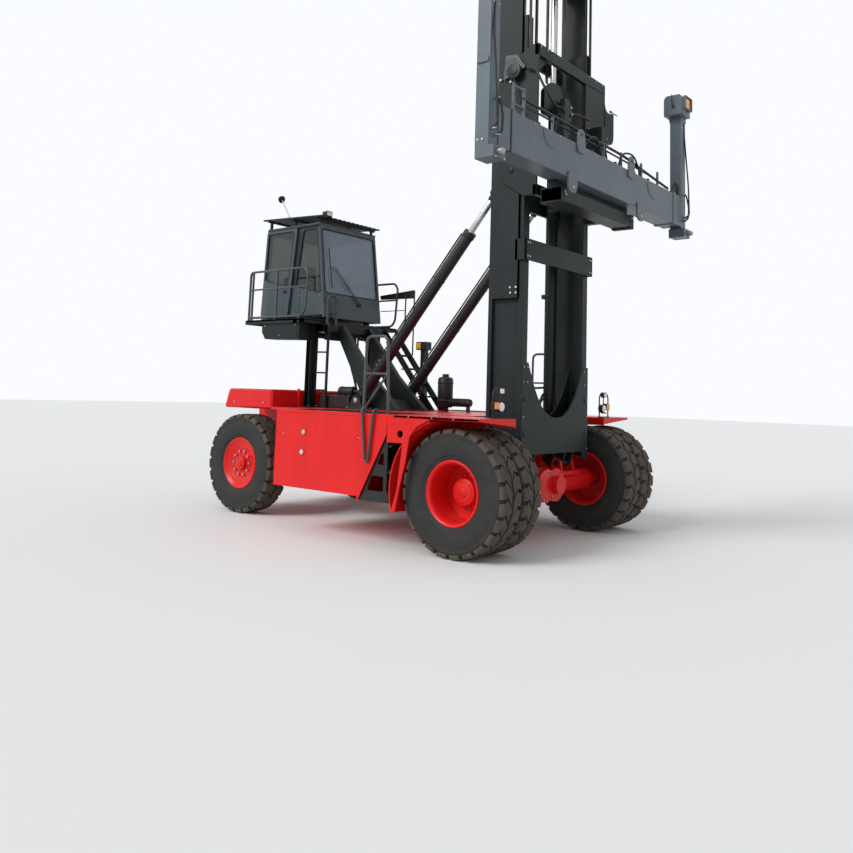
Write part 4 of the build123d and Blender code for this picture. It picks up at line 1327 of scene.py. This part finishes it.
door_outline = [(cab_rear(3095) + 30, 3095), (-4470, 3095), (-4330, 4545), (cab_rear(4545) + 30, 4545)]
door_window = [(-5071, 3714), (-4500, 3600), (-4400, 4490), (-5030, 4490)]
door_leaf = carve(
    side_cut(rounded(door_outline, 40), -700, -660, 0), side_cut(rounded(door_window, 50), -710, -650, 0)
)
handle = [
    hose([(-4520, -700, 3495), (-4520, -728, 3495), (-4590, -728, 3495), (-4590, -700, 3495)], 7, 16, 8),
    slab(-4602, -4508, -706, -699, 3470, 3520, 3)
]
runners = [slab(x, x + 60, -702, -664, z, z + 14, 3) for x in (-5040, -4560) for z in (3090, 4538)]
fit("cab_sliding_door", [
    made_of(CAB_GREY, round_edges(door_leaf, 0.007, 2)),
    made_of(SEAL, ring_of(side_cut, door_window, 15, -705, -676, 44)),
    made_of(SIDE_GLASS, side_cut(rounded(grown(door_window, 6), 50), -686, -680, 0)),
    made_of(BLACK, *handle, *runners),
], "sliding_door", ["cab_door"])

# Inside the cab: a padded seat on its pedestal, and the console with its wheel


def cushion(low, high, crown, lean=0.0):
    """A crowned pad whose sides pull in between its corners, with a channel sewn across it."""
    piece = slab(low[0], high[0], low[1], high[1], low[2], high[2], 26, 2)
    edit_whole(piece, lambda: bpy.ops.mesh.subdivide(number_cuts=5))
    middle = (at(*low) + at(*high)) / 2
    half = (at(*high) - at(*low)) / 2
    thin = min(range(3), key=lambda k: half[k])
    wide = [k for k in range(3) if k != thin]
    for corner in piece.data.vertices:
        share = [(corner.co[k] - middle[k]) / half[k] for k in range(3)]
        fall = (1 - share[wide[0]] ** 2) * (1 - share[wide[1]] ** 2)
        channel = max(0.0, 0.35 * (1 - abs(abs(share[1]) - 0.42) / 0.07))
        if share[thin] > 0.2:
            corner.co[thin] += crown / 1000 * (fall - channel)
        for k, other in ((wide[0], wide[1]), (wide[1], wide[0])):
            corner.co[k] -= half[k] * 0.05 * share[k] * (1 - share[other] ** 2)
        corner.co.x -= lean * (corner.co.z - at(*low).z)
    soft = piece.modifiers.new("soft", "SUBSURF")
    soft.levels = soft.render_levels = 1
    return smooth(apply_modifiers(piece), 60)


seat_pad = cushion((-4800, -245, 3345), (-4355, 245, 3450), 22)
back_pad = cushion((-4890, -240, 3450), (-4780, 240, 4055), 20, 0.12)
fit("seat_cushion", [made_of(CLOTH, seat_pad)], "chassis", ["operator_seat"])
fit("seat_backrest", [made_of(CLOTH, back_pad)], "chassis")
seat_base = [
    slab(-4790, -4390, -200, 200, 3300, 3346, 10, 2),
    slab(-4760, -4430, -150, 150, 3103, 3302, 8, 2),
    slab(-4860, -4460, -310, -262, 3565, 3612, 16, 3),
    slab(-4860, -4460, 262, 310, 3565, 3612, 16, 3),
    hose([(-4830, -286, 3570), (-4850, -286, 3420), (-4820, -180, 3380)], 13, 60, 8),
    hose([(-4830, 286, 3570), (-4850, 286, 3420), (-4820, 180, 3380)], 13, 60, 8),
]
for z in range(3130, 3290, 28):
    seat_base.append(slab(-4770, -4420, -160, 160, z, z + 14, 6))
fit("seat_frame", [made_of(BLACK, *seat_base)], "chassis")
CONSOLE_X = CAB_FRONT - 330
console_head = [(CONSOLE_X - 40, 3560), (CONSOLE_X + 60, 3560), (CONSOLE_X + 30, 3720), (CONSOLE_X - 20, 3720)]
console_side = [
    (CONSOLE_X - 100, 3103), (CONSOLE_X + 60, 3103), (CONSOLE_X + 40, 3500), (CONSOLE_X - 60, 3660),
    (CONSOLE_X - 110, 3630)
]
wheel_centre, wheel_axis = at(CONSOLE_X - 124, 0, 3712), Vector((-0.5, 0, 0.866))
WHEEL_R, GRIP_R = 0.178, 0.014
grip_section = [(GRIP_R * sin(k * pi / 4), WHEEL_R + GRIP_R * cos(k * pi / 4)) for k in range(8)]
wheel_ring = smooth(spun(grip_section, wheel_centre, 48, (0, 0, 1)), 60)
wheel_lean = Matrix.Rotation(radians(-30), 4, "Y")
wheel_ring.data.transform(Matrix.Translation(wheel_centre) @ wheel_lean @ Matrix.Translation(-wheel_centre))
spokes = []
for turn in (0.4, 2.5, 4.6):
    reach = Vector((cos(turn) * 0.866, sin(turn), cos(turn) * 0.5)) * 0.172
    spokes.append(smooth(drum(wheel_centre, wheel_centre + reach, 0.011, 12), 50))
console = [
    side_cut(console_side, -90, 90, 8),
    smooth(drum(at(CONSOLE_X - 70, 0, 3620), wheel_centre + wheel_axis * 0.01, 0.026, 20, 0.003), 40),
    smooth(drum(wheel_centre - wheel_axis * 0.02, wheel_centre + wheel_axis * 0.012, 0.045, 28, 0.005), 40),
    side_cut(console_head, -160, 160, 10),
    hose([(-4560, -290, 3600), (-4520, -290, 3660), (-4510, -290, 3720)], 9, 30, 8),
    ball(at(-4510, -290, 3735), 0.022),
]
fit(
    "steering_wheel_and_console", [made_of(BLACK, wheel_ring, *spokes, *console)], "chassis",
    ["steering_console"]
)

# ---------------------------------------------------------------- roof guard, work lamp and mirror

GUARD_REAR, GUARD_FRONT, GUARD_HALF = -5227, -3770, 690


def slat_low(x):
    """The height of the slats' underside."""
    return 4686 + (GUARD_FRONT - x) * 0.045


slat = [
    (GUARD_REAR, slat_low(GUARD_REAR)), (GUARD_FRONT - 12, slat_low(GUARD_FRONT)),
    (GUARD_FRONT, slat_low(GUARD_FRONT) + 12)
]
slat += [(GUARD_FRONT - 12, slat_low(GUARD_FRONT) + 26), (GUARD_REAR, slat_low(GUARD_REAR) + 26)]
guard = [side_cut(slat, y, y + 52, 3) for y in (-GUARD_HALF + 102.2 * k for k in range(14))]
for x in (GUARD_REAR + 120, -4498, GUARD_FRONT - 160):
    low = slat_low(x) - 30
    guard.append(slab(x, x + 40, -GUARD_HALF, GUARD_HALF, low, low + 34, 4))
    for y in (-634, 594):
        guard.append(slab(x, x + 40, y, y + 40, CAB_TOP, low + 1, 3))
        guard.append(slab(x - 16, x + 56, y - 12, y + 52, CAB_TOP + 12, CAB_TOP + 22, 2))
guard_bolts = bolts(
    [
        (x + 20, y, slat_low(x) + 26) for x in (GUARD_REAR + 120, GUARD_FRONT - 160)
        for y in (-664, -562, -460, 460, 562, 664)
    ],
    (0, 0, 1), 9, 6
)
work_lamp = [
    slab(-3902, -3800, -560, -440, 4722, 4800, 10, 2),
    slab(-3870, -3830, -515, -485, 4700, 4724, 3),
    slab(-3806, -3790, -566, -434, 4716, 4806, 5, 2),
]
stalk = [
    hose([(-4617, -640, 4738), (-4617, -640, 4775), (-4799, -640, 5053), (-4840, -640, 5100)], 11, 50),
    shaft((-4617, -640, 4726), (-4617, -640, 4744), 26, 20, 3),
]
disc = [
    shaft((-4834, -640, 5100), (-4872, -640, 5120), 60, 36, 5, 46),
    shaft((-4826, -640, 5096), (-4834, -640, 5100), 64, 36, 2)
]
fit("cab_roof_guard", [
    made_of(MAST_PAINT, *guard),
    made_of(BOLT, guard_bolts, *stalk),
    made_of(BLACK, *work_lamp, *disc),
    made_of(CLEAR, slab(-3793, -3788, -552, -448, 4730, 4792, 3)),
], "chassis", ["roof_guard"])

# ---------------------------------------------------------------- cab supports, platform and stairs

POST_X, BEAM_IN, BEAM_OUT, SUPPORT_TOP, BEAM_UNDER, DECK_TOP = -3905, 640, 720, 2930, 2820, 1626
gusset = [(POST_X - 1, 2560), (POST_X - 1, 2929), (-4190, 2929), (-4190, 2780), (-4010, 2760), (-3930, 2640)]
brace_side = [(-3738, 2930), (-3546, 2930), (-2877, 2146), (-2273, DECK_TOP), (-2895, DECK_TOP), (-3122, 1946)]
brace_edge = [(-3546, 2930), (-3524, 2930), (-2860, 2160), (-2255, DECK_TOP), (-2273, DECK_TOP), (-2877, 2146)]
support_side = [
    slab(POST_X, POST_X + 105, 665, 695, DECK_TOP, SUPPORT_TOP, 2),
    slab(POST_X + 90, POST_X + 105, 600, 760, DECK_TOP, SUPPORT_TOP, 3),
    slab(POST_X, POST_X + 15, 600, 760, DECK_TOP, SUPPORT_TOP, 3),
    slab(POST_X - 40, POST_X + 145, 580, 780, DECK_TOP, DECK_TOP + 20, 3),
    side_cut(gusset, 665, 695, 3),
    side_cut(brace_side, 308, 340, 4),
    side_cut(brace_edge, 262, 340, 3),
    slab(-2910, -2250, 262, 386, DECK_TOP, DECK_TOP + 18, 3),
    slab(-5000, -3560, BEAM_IN, BEAM_OUT, BEAM_UNDER, SUPPORT_TOP, 5, 2),
]
arch_cut = [
    (60 + 250 * cos(k * pi / 12), 2690 + 105 * sin(k * pi / 12)) for k in range(13)
] + [(-190, 2600), (310, 2600)]
arch_plate = carve(
    front_cut([(-640, 2690), (640, 2690), (640, 2990), (-640, 2990)], CAB_FRONT, CAB_FRONT + 20, 0),
    front_cut(arch_cut, CAB_FRONT - 10, CAB_FRONT + 40, 0),
)
support_steel = [
    with_twin(weld(support_side)),
    slab(POST_X, POST_X + 105, -BEAM_OUT, BEAM_OUT, BEAM_UNDER, SUPPORT_TOP, 4),
    slab(-5000, -4900, -BEAM_OUT, BEAM_OUT, BEAM_UNDER, SUPPORT_TOP, 4),
    slab(-3750, -3560, -BEAM_OUT, BEAM_OUT, BEAM_UNDER, SUPPORT_TOP, 4),
    round_edges(arch_plate, 0.003, 1),
    slab(-3592, -3555, -622, -590, DECK_TOP, 2830, 3),
]
for z in (1900, 2172, 2496):
    support_steel.append(shaft((-3800, -670, z), (-3574, -606, z), 13, 12))
support_bolts = bolts(
    [(POST_X + x, y, DECK_TOP + 20) for x in (-20, 125) for y in (-760, -600, 600, 760)], (0, 0, 1), 14, 10
)
arch_bolts = bolts([(CAB_FRONT + 20, y, z) for y in (-590, 590) for z in (2740, 2940)], (1, 0, 0), 11, 8)
cab_lines = [
    hose([(-3700, 120, 2820), (-3700, 120, 2400), (-3500, 110, 2100), (-3400, 60, 1840)], 26, 260),
    hose([(-3720, 40, 2820), (-3720, 40, 2380), (-3560, 20, 2060), (-3440, -40, 1840)], 20, 240),
    hose([(-3730, 220, 2820), (-3730, 220, 2460), (-3520, 230, 2120), (-3360, 200, 1840)], 16, 240),
]
fit("cab_support_frame", [
    made_of(MAST_PAINT, *support_steel),
    made_of(BOLT, support_bolts, arch_bolts),
    made_of(HOSE, *cab_lines),
], "chassis", ["cab_supports"])

PLATFORM_REAR, PLATFORM_OUT = -5066, 1070
locker_door = [(-4650, 2812), (-4594, 2724), (-3830, 2706), (-3830, 2940), (-4650, 2940)]
locker = [(-4690, 2800), (-4605, 2690), (-3790, 2670), (-3790, 2975), (-4690, 2975)]
platform_steel = [
    slab(PLATFORM_REAR, CAB_FRONT, -PLATFORM_OUT, PLATFORM_OUT, 2970, 3000, 3),
    slab(PLATFORM_REAR, CAB_FRONT, -PLATFORM_OUT, -PLATFORM_OUT + 12, 2930, 2999, 2),
    slab(PLATFORM_REAR, CAB_FRONT, PLATFORM_OUT - 12, PLATFORM_OUT, 2930, 2999, 2),
    slab(PLATFORM_REAR, PLATFORM_REAR + 12, -PLATFORM_OUT, PLATFORM_OUT, 2930, 2999, 2),
    slab(CAB_FRONT - 128, CAB_FRONT, -PLATFORM_OUT, PLATFORM_OUT, 2930, 2999, 3),
    slab(POST_X, POST_X + 105, -PLATFORM_OUT, PLATFORM_OUT, 2930, 2999, 2),
    side_cut(locker, -PLATFORM_OUT + 40, -PLATFORM_OUT + 280, 8),
    side_cut(locker_door, -PLATFORM_OUT + 34, -PLATFORM_OUT + 41, 4),
]
for x in (CAB_REAR + 200, CAB_FRONT - 260):
    for y in (-560, 440):
        platform_steel.append(shaft((x + 60, y + 60, 2999), (x + 60, y + 60, 3053), 58, 24, 6))
grip = [slab(x, x + 8, -1040, -720, 3000, 3004, 0) for x in range(-5030, -3680, 46)]
hinges = bolts(
    [(x, -PLATFORM_OUT + 34, z) for x, z in ((-4600, 2900), (-3870, 2900), (-4240, 2740))], (0, -1, 0), 12, 8
)
fit("cab_platform", [
    made_of(MAST_PAINT, *platform_steel, with_twin(weld(grip))),
    made_of(BOLT, hinges),
], "chassis", ["platform"])

stringer = [(-2620, DECK_TOP), (-2480, DECK_TOP), (CAB_FRONT, 2990), (CAB_FRONT, 2830)]
stairs = [side_cut(stringer, 760, 780, 3), side_cut(stringer, 1040, 1060, 3)]
for k in range(1, 6):
    z = DECK_TOP + 225 * k
    x = -2480 + (CAB_FRONT + 2480) * 225 * k / (2990 - DECK_TOP)
    stairs.append(slab(x - 190, x - 10, 779, 1041, z - 20, z, 3))
    stairs.append(slab(x - 16, x - 8, 790, 1030, z, z + 9, 2))
    for y in range(800, 1030, 46):
        stairs.append(slab(x - 176, x - 24, y, y + 10, z - 1, z + 5, 0))
fit("platform_stairs", [made_of(MAST_PAINT, *stairs)], "chassis")
side_plate = [(-4041, 3596), (-4013, 3523), (-3218, 3512), (-3225, 3660)]
fit("rail_side_plate", [
    made_of(BLACK, side_cut(rounded(side_plate, 20), 1040, 1050, 3)),
    made_of(
        RAIL_PAINT,
        hose([(-3432, 1050, 2764), (-3432, 1050, 3600)], 13, 10),
        hose([(-3236, 1050, 2536), (-3236, 1050, 3640)], 13, 10),
        hose([(-4010, 1050, 3316), (-3432, 1050, 3316)], 8, 10, 8),
    ),
    made_of(BOLT, bolts([(x, 1050, 3560) for x in (-4000, -3660, -3250)], (0, 1, 0), 8, 6)),
], "chassis")

# ---------------------------------------------------------------- hood, exhaust and counterweight

hood_side = [(-3790, DECK_TOP), (-3740, 1828), (-3104, 1828), (-3084, DECK_TOP)]
grille_side = [(-3094, DECK_TOP), (-3094, 1790), (-2660, 1790), (-2480, DECK_TOP)]
hood_parts = [side_cut(hood_side, -570, 570, 12), side_cut(grille_side, -240, 240, 10)]
fins = []
for k in range(7):
    z = 1652 + 18 * k
    fins.append(slab(-3060, -2700 + (1790 - z) * 0.5, 238, 258, z, z + 6, 2))
fins = [with_twin(weld(fins))]
for k in range(8):
    x = -3062 + 48 * k
    fins.append(side_cut([(x, 1788), (x + 26, 1788), (x + 30, 1806), (x + 4, 1806)], -214, 214, 2))
cleaner = [
    shaft((-3420, -430, 1894), (-3120, -430, 1894), 72, 36, 8),
    shaft((-3400, -430, 1894), (-3380, -430, 1894), 77, 36, 3),
    shaft((-3160, -430, 1894), (-3140, -430, 1894), 77, 36, 3),
    hose([(-3125, -430, 1894), (-3010, -430, 1894), (-2960, -430, 1840), (-2960, -430, 1700)], 30, 60, 16),
    slab(-3330, -3300, -490, -370, 1826, 1850, 3),
]
filter_box = [slab(-3680, -3480, 120, 420, 1826, 1930, 14, 3), slab(-3690, -3470, 110, 430, 1900, 1914, 4)]
hood_bolts = bolts([(x, y, 1828) for x in (-3700, -3140) for y in (-530, 530)], (0, 0, 1), 12, 8)
fit("engine_bay_hood", [
    made_of(BLACK, *hood_parts, *fins, *cleaner, *filter_box),
    made_of(BOLT, hood_bolts),
], "chassis", ["engine_hood"])

MUFFLER_X, MUFFLER_Y = -2250, 740
can_section = [(0, 0), (0, 0.108), (0.014, 0.122), (0.44, 0.122), (0.468, 0.108), (0.482, 0.07), (0.482, 0)]
muffler = [
    shaft((MUFFLER_X, MUFFLER_Y, DECK_TOP), (MUFFLER_X, MUFFLER_Y, 1690), 60, 28, 3),
    smooth(spun(can_section, at(MUFFLER_X, MUFFLER_Y, 1688), 48, (0, 0, 1)), 50),
    shaft((MUFFLER_X, MUFFLER_Y, 2165), (MUFFLER_X, MUFFLER_Y, 2215), 52, 28, 4),
    *[shaft((MUFFLER_X, MUFFLER_Y, z), (MUFFLER_X, MUFFLER_Y, z + 28), 127, 48, 3) for z in (1780, 2060)],
    shaft((MUFFLER_X + 100, MUFFLER_Y, 1770), (MUFFLER_X + 510, MUFFLER_Y, 1770), 57, 32, 6),
]
for k in range(9):
    x = MUFFLER_X + 140 + 40 * k
    muffler.append(shaft((x, MUFFLER_Y, 1770), (x + 12, MUFFLER_Y, 1770), 66, 32, 2))
muffler.append(slab(MUFFLER_X + 440, MUFFLER_X + 480, MUFFLER_Y - 30, MUFFLER_Y + 30, DECK_TOP, 1716, 3))
fit("exhaust_muffler", [made_of(BLACK, *muffler)], "chassis", ["exhaust"])

weight_side = [(-5067, 1586), (-3916, 1586), (-3916, 1886), (-4965, 1886)]
weight_parts = [
    side_cut(weight_side, -1393, 1393, 26),
    slab(-5187, -5008, -560, 560, 700, 1606, 18, 3),
    with_twin(slab(-3936, -3882, -876, -852, DECK_TOP, 1910, 4)),
]
for x in (-4700, -4300):
    weight_parts.append(slab(x, x + 10, -1395, 1395, 1884, 1888, 0))
tail = [
    slab(-5200, -5180, -60, 60, 1180, 1320, 6, 2), slab(-5200, -5180, -60, 60, 960, 1060, 6, 2),
    shaft((-5196, 0, 940), (-5196, 0, 1340), 24, 20, 4)
]
tail_lamps = [
    with_twin(shaft((-5010, -1180, 1740), (-5036, -1180, 1740), 60, 32, 5)),
    with_twin(shaft((-5016, -1180, 1740), (-5042, -1180, 1740), 50, 32, 5))
]
fit("counterweight_casting", [
    made_of(RED, *weight_parts),
    made_of(BLACK, *tail, tail_lamps[0]),
    made_of(RED_LENS, tail_lamps[1]),
    made_of(BOLT, with_twin(bolts([(-4800, -1393, 1680), (-4100, -1393, 1680)], (0, -1, 0), 18, 12))),
], "chassis", ["counterweight"])

# ---------------------------------------------------------------- side tanks, steps and fenders

TANK_TOP, SKIRT = 1586, 2089
tank_body = carve(
    slab(-2960, -1376, -SKIRT, -600, 601, TANK_TOP, 0),
    *[slab(x - 9, x + 9, -SKIRT - 10, -SKIRT + 14, z - 30, z + 30, 0) for x, z in ((-1395, 1314), (-2808, 1316))],
)
tank_parts = [
    round_edges(tank_body, 0.012, 2),
    side_cut([(-1377, 560), (-1355, 560), (-912, 1377), (-900, TANK_TOP), (-1377, TANK_TOP)], -SKIRT, -SKIRT + 14, 3),
    slab(-895, -565, -SKIRT - 3, -SKIRT + 4, 1515, 1586, 2),
    shaft((-2388, -SKIRT + 1, 1337), (-2388, -SKIRT - 8, 1337), 46, 28, 3),
    shaft((-2407, -SKIRT + 1, 1074), (-2407, -SKIRT - 8, 1074), 46, 28, 3),
    slab(-2955, -2950, -SKIRT - 2, -SKIRT + 4, 612, TANK_TOP - 12, 0),
]
caps = [shaft((x, -SKIRT - 7, z), (x, -SKIRT - 16, z), 32, 28, 3) for x, z in ((-2388, 1337), (-2407, 1074))]
slot_bolts = bolts(
    [(-1395, -SKIRT + 14, 1314), (-2808, -SKIRT + 14, 1316), (-2808, -SKIRT + 14, 1298)], (0, -1, 0), 8, 10
)
fit("side_tank_panels", [
    made_of(RED, with_twin(weld(tank_parts))),
    made_of(PALE_BOLT, with_twin(weld(caps)), with_twin(slot_bolts)),
], "chassis", ["side_tanks"])

STEP_FRONT, STRINGER_Y = -858, -2061
stringer_side = [(-1345, 560), (STEP_FRONT, 560), (STEP_FRONT, 640), (-903, 690), (-903, 1377), (-910, 1377)]
low_window = [(-1226, 688), (-955, 688), (-960, 872), (-1153, 872)]
high_window = [(-1069, 1010), (-958, 1010), (-963, 1149), (-1007, 1149)]
stringer_plate = carve(
    side_cut(stringer_side, STRINGER_Y, STRINGER_Y + 14, 0),
    side_cut(rounded(low_window, 26), STRINGER_Y - 10, STRINGER_Y + 24, 0),
    side_cut(rounded(high_window, 20), STRINGER_Y - 10, STRINGER_Y + 24, 0),
)
step_parts = [round_edges(stringer_plate, 0.002, 1), slab(-1376, STEP_FRONT, -1560, -1546, 560, TANK_TOP, 2)]
for x, z in ((-1345, 588), (-1137, 939), (-987, 1254)):
    step_parts.append(slab(x, STEP_FRONT, STRINGER_Y + 13, -1559, z - 28, z, 3))
    for y in range(-2030, -1580, 60):
        step_parts.append(slab(x + 16, STEP_FRONT - 10, y, y + 10, z - 1, z + 5, 0))
fit("side_step_wells", [made_of(BLACK, with_twin(weld(step_parts)))], "chassis", ["side_steps"])


def fender_shell(front):
    """A front fender on the right side, reaching forward to front."""
    band = [
        (-900, TANK_TOP), (-900, 1290), (-645, 1290), (-712, 753), (-800, 452), (-734, 477), (-675, 750), (-590, 1079)
    ]
    band += [
        (-540, 1374), (-436, 1496), (-225, 1592), (front, 1592), (front, DECK_TOP), (-800, DECK_TOP), (-800, TANK_TOP)
    ]
    band_plate = carve(
        side_cut(band, -SKIRT, -SKIRT + 22, 0), shaft((-690, -SKIRT - 20, 1400), (-690, -SKIRT + 40, 1400), 45, 32)
    )
    arch_line = [(x, 750 + z) for x, z in arc((0, 0), 858, 107, 200, 12) + arc((0, 0), 842, 200, 107, 12)]
    parts = [
        round_edges(band_plate, 0.004, 2),
        slab(-799, front, -SKIRT, -1320, 1592, DECK_TOP, 5, 2),
        side_cut(arch_line, -SKIRT + 20, -1320, 0),
        side_cut([(-600, 1596), (front, 1596), (front, 1516), (front - 260, 1516)], -1340, -1320, 3),
        front_cut([(-SKIRT + 20, 1594), (-1377, 1534), (-1330, 1534), (-1330, 1594)], front - 14, front, 3),
    ]
    for x in range(-700, int(front) - 40, 70):
        parts.append(slab(x, x + 34, -1980, -1972, DECK_TOP - 1, DECK_TOP + 3, 0))
        parts.append(slab(x + 20, x + 28, -1900, -1866, DECK_TOP - 1, DECK_TOP + 3, 0))
    return weld(parts)


fit("front_wheel_fenders", [
    made_of(RED, fender_shell(471), copies(fender_shell(250), [MIRROR])[0]),
    made_of(BOLT, with_twin(bolts([(x, -SKIRT, 1609) for x in (-560, -200, 120)], (0, -1, 0), 10, 7))),
], "chassis", ["front_fenders"])

deck_outline = [
    (-2960, -SKIRT), (-800, -SKIRT), (-800, -1000), (-420, -1000), (-420, 1000), (-800, 1000), (-800, SKIRT),
    (-2960, SKIRT)
]
deck_outline += [(-2960, 1393), (-3916, 1393), (-3916, -1393), (-2960, -1393)]
deck_top = sheet_metal([(AXLE_X + x / 1000, y / 1000) for x, y in deck_outline], "z", 1.586, 1.626, 0.004, 2)
clevis = []
for lug in (-70, 70):
    outline = [
        (-3064, 1625), (-2764, 1625), (-2844, 1810), (-2880, 1838), (-2914, 1846), (-2948, 1838), (-2984, 1810)
    ]
    clevis.append(side_cut(outline, -TILT_Y + lug - 18, -TILT_Y + lug + 18, 4))
clevis.append(slab(-3090, -2740, -TILT_Y - 120, -TILT_Y + 120, 1625, 1645, 4))
clevis_pin = [shaft((-2914, -TILT_Y - 98, 1760), (-2914, -TILT_Y + 98, 1760), 40, 28, 5)]
grip = [slab(x, x + 6, -1960, -1120, 1625.5, 1629, 0) for x in range(-2900, -860, 60)]
clevis_bolts = [(x, y, 1645) for x in (-3070, -2760) for y in (-620, -430)]
fit("chassis_deck", [
    made_of(RED, deck_top),
    made_of(BLACK, with_twin(weld(clevis)), with_twin(weld(grip))),
    made_of(BOLT, with_twin(weld(clevis_pin)), with_twin(bolts(clevis_bolts, (0, 0, 1), 15, 10))),
], "chassis", ["deck"])

# The drive axle's round cover with its bolts, and the bolts round the axle's end
axle_bolts = [
    hex_bolt((AXLE_X + 0.190 * cos(k * pi / 6), -1.072, TYRE_R + 0.190 * sin(k * pi / 6)), (0, 1, 0), 0.013, 0.012)
    for k in range(12)
]
cover_bolts = [
    hex_bolt(at(247, -225 + 196 * cos(k * pi / 8), 750 + 196 * sin(k * pi / 8)), (1, 0, 0), 0.011, 0.010)
    for k in range(16)
]
fit("drive_axle_fittings", [
    made_of(RED, smooth(drum(at(200, -225, 750), at(250, -225, 750), 0.214, 48, 0.004), 40)),
    made_of(BOLT, *axle_bolts, *cover_bolts),
], "chassis")

# ---------------------------------------------------------------- lamps on the fenders and the signal post


def lamp_cluster(x, y_out, y_in, round_lamp, square_lamp, top_lamp, height):
    """A hoop between y_out and y_in with a round and a square lamp, and a small lamp on top."""
    middle = (y_out + y_in) / 2
    (round_y, round_z), (square_y, square_z), (top_y, top_z) = round_lamp, square_lamp, top_lamp
    hoop = [(y_out, DECK_TOP), (y_out, height - 60), (y_out + (middle - y_out) * 0.4, height)]
    hoop += [(y_in - (y_in - middle) * 0.4, height), (y_in, height - 60), (y_in, DECK_TOP)]
    black = [
        hose([(x - 30, y, z) for y, z in hoop], 11, 60, 8),
        slab(x - 55, x - 5, min(y_out, y_in) - 10, max(y_out, y_in) + 10, DECK_TOP, DECK_TOP + 12, 3),
        slab(x - 60, x - 4, square_y - 52, square_y + 52, square_z - 48, square_z + 48, 9, 2),
        shaft((x - 70, round_y, round_z), (x - 4, round_y, round_z), 60, 32, 6, 62),
        slab(x - 44, x - 20, min(round_y, square_y), max(round_y, square_y), round_z - 72, round_z - 56, 2),
        slab(x - 58, x - 10, top_y - 44, top_y + 44, top_z - 44, top_z + 30, 8, 2),
        slab(x - 40, x - 28, top_y - 8, top_y + 8, round_z, top_z - 30, 2),
    ]
    amber = slab(x - 6, x + 6, square_y - 44, square_y + 44, square_z - 40, square_z + 40, 6, 2)
    clear = [
        shaft((x - 6, round_y, round_z), (x + 8, round_y, round_z), 54, 36, 5),
        slab(x - 12, x + 6, top_y - 36, top_y + 36, top_z - 36, top_z + 20, 6, 2),
    ]
    return [made_of(BLACK, *black), made_of(AMBER, amber), made_of(CLEAR, *clear)]


signal = [
    slab(-3120, -3020, 1120, 1220, DECK_TOP, 2640, 8, 2), slab(-3190, -2980, 1090, 1250, 2630, 2770, 12, 3),
    slab(-3150, -2990, 1100, 1240, DECK_TOP, DECK_TOP + 16, 3), slab(-3196, -2974, 1084, 1092, 2636, 2764, 3)
]
fit("fender_and_post_lamps", [
    *lamp_cluster(375, -1640, -1370, (-1492, 1764), (-1587, 1776), (-1480, 1960), 1985),
    *lamp_cluster(154, 1420, 1690, (1510, 1752), (1640, 1781), (1552, 1960), 1985),
    made_of(BLACK, *signal),
    made_of(YELLOW_LENS, slab(-3186, -3090, 1078, 1086, 2650, 2750, 8, 2)),
], "chassis", ["fender_lamps"])


# ---------------------------------------------------------------- floor, light and camera

clear_selection()
bpy.ops.mesh.primitive_plane_add(size=160, location=(0, 0, 0))
floor = bpy.context.object
floor.name = "floor"
floor_paint, tree, shader = new_material("pale_floor")
grit = bump(tree, 0.05, 0.01, noise(tree, surface_place(tree), 4.0, 6.0))
set_shader(tree, shader, {"Base Color": (0.80, 0.80, 0.79, 1), "Roughness": 0.9, "Normal": grit})
floor.data.materials.append(floor_paint)

world = bpy.data.worlds.new("soft_light")
bpy.context.scene.world = world
world.use_nodes = True
tree = world.node_tree
tree.nodes.clear()
path = add(tree, "ShaderNodeLightPath").outputs
seen = math(
    tree, "MAXIMUM", path["Is Camera Ray"], math(tree, "MAXIMUM", path["Is Glossy Ray"], path["Is Transmission Ray"])
)
fill = add(tree, "ShaderNodeBackground", {"Color": (0.94, 0.97, 1.0, 1), "Strength": 0.62})
backdrop = add(tree, "ShaderNodeBackground", {"Color": (0.96, 0.975, 1.0, 1), "Strength": 1.0})
blend = add(tree, "ShaderNodeMixShader", {0: seen, 1: fill.outputs[0], 2: backdrop.outputs[0]})
add(tree, "ShaderNodeOutputWorld", {"Surface": blend.outputs[0]})

SUN_PLACE, SUN_AIM = Vector((-3.5, -11, 9.5)), Vector((0, 0, 1.5))
sun_data = bpy.data.lights.new("side_sun", "SUN")
sun_data.energy = 2.1
sun_data.angle = radians(28)
sun = new_piece("side_sun", sun_data)
sun.location = SUN_PLACE
sun.rotation_euler = (SUN_AIM - SUN_PLACE).to_track_quat("-Z", "Y").to_euler()

camera_data = bpy.data.cameras.new("camera")
camera_data.lens = 34.92
camera_data.sensor_width = 36
camera_data.shift_x = -0.023
camera_data.shift_y = -0.149
camera_data.clip_end = 300
camera = new_piece("camera", camera_data)
CAMERA_PLACE = (8.066, -9.670, 1.892)
yaw, pitch, roll = radians(128.51), radians(6.55), radians(1.78)
ahead = Vector((cos(yaw) * cos(pitch), sin(yaw) * cos(pitch), sin(pitch)))
right = ahead.cross(Vector((0, 0, 1))).normalized()
up = right.cross(ahead)
side, top = right * cos(roll) + up * sin(roll), up * cos(roll) - right * sin(roll)
camera.matrix_world = Matrix.Translation(CAMERA_PLACE) @ Matrix((side, top, -ahead)).transposed().to_4x4()
bpy.context.scene.camera = camera
bpy.context.scene.view_settings.view_transform = "Standard"
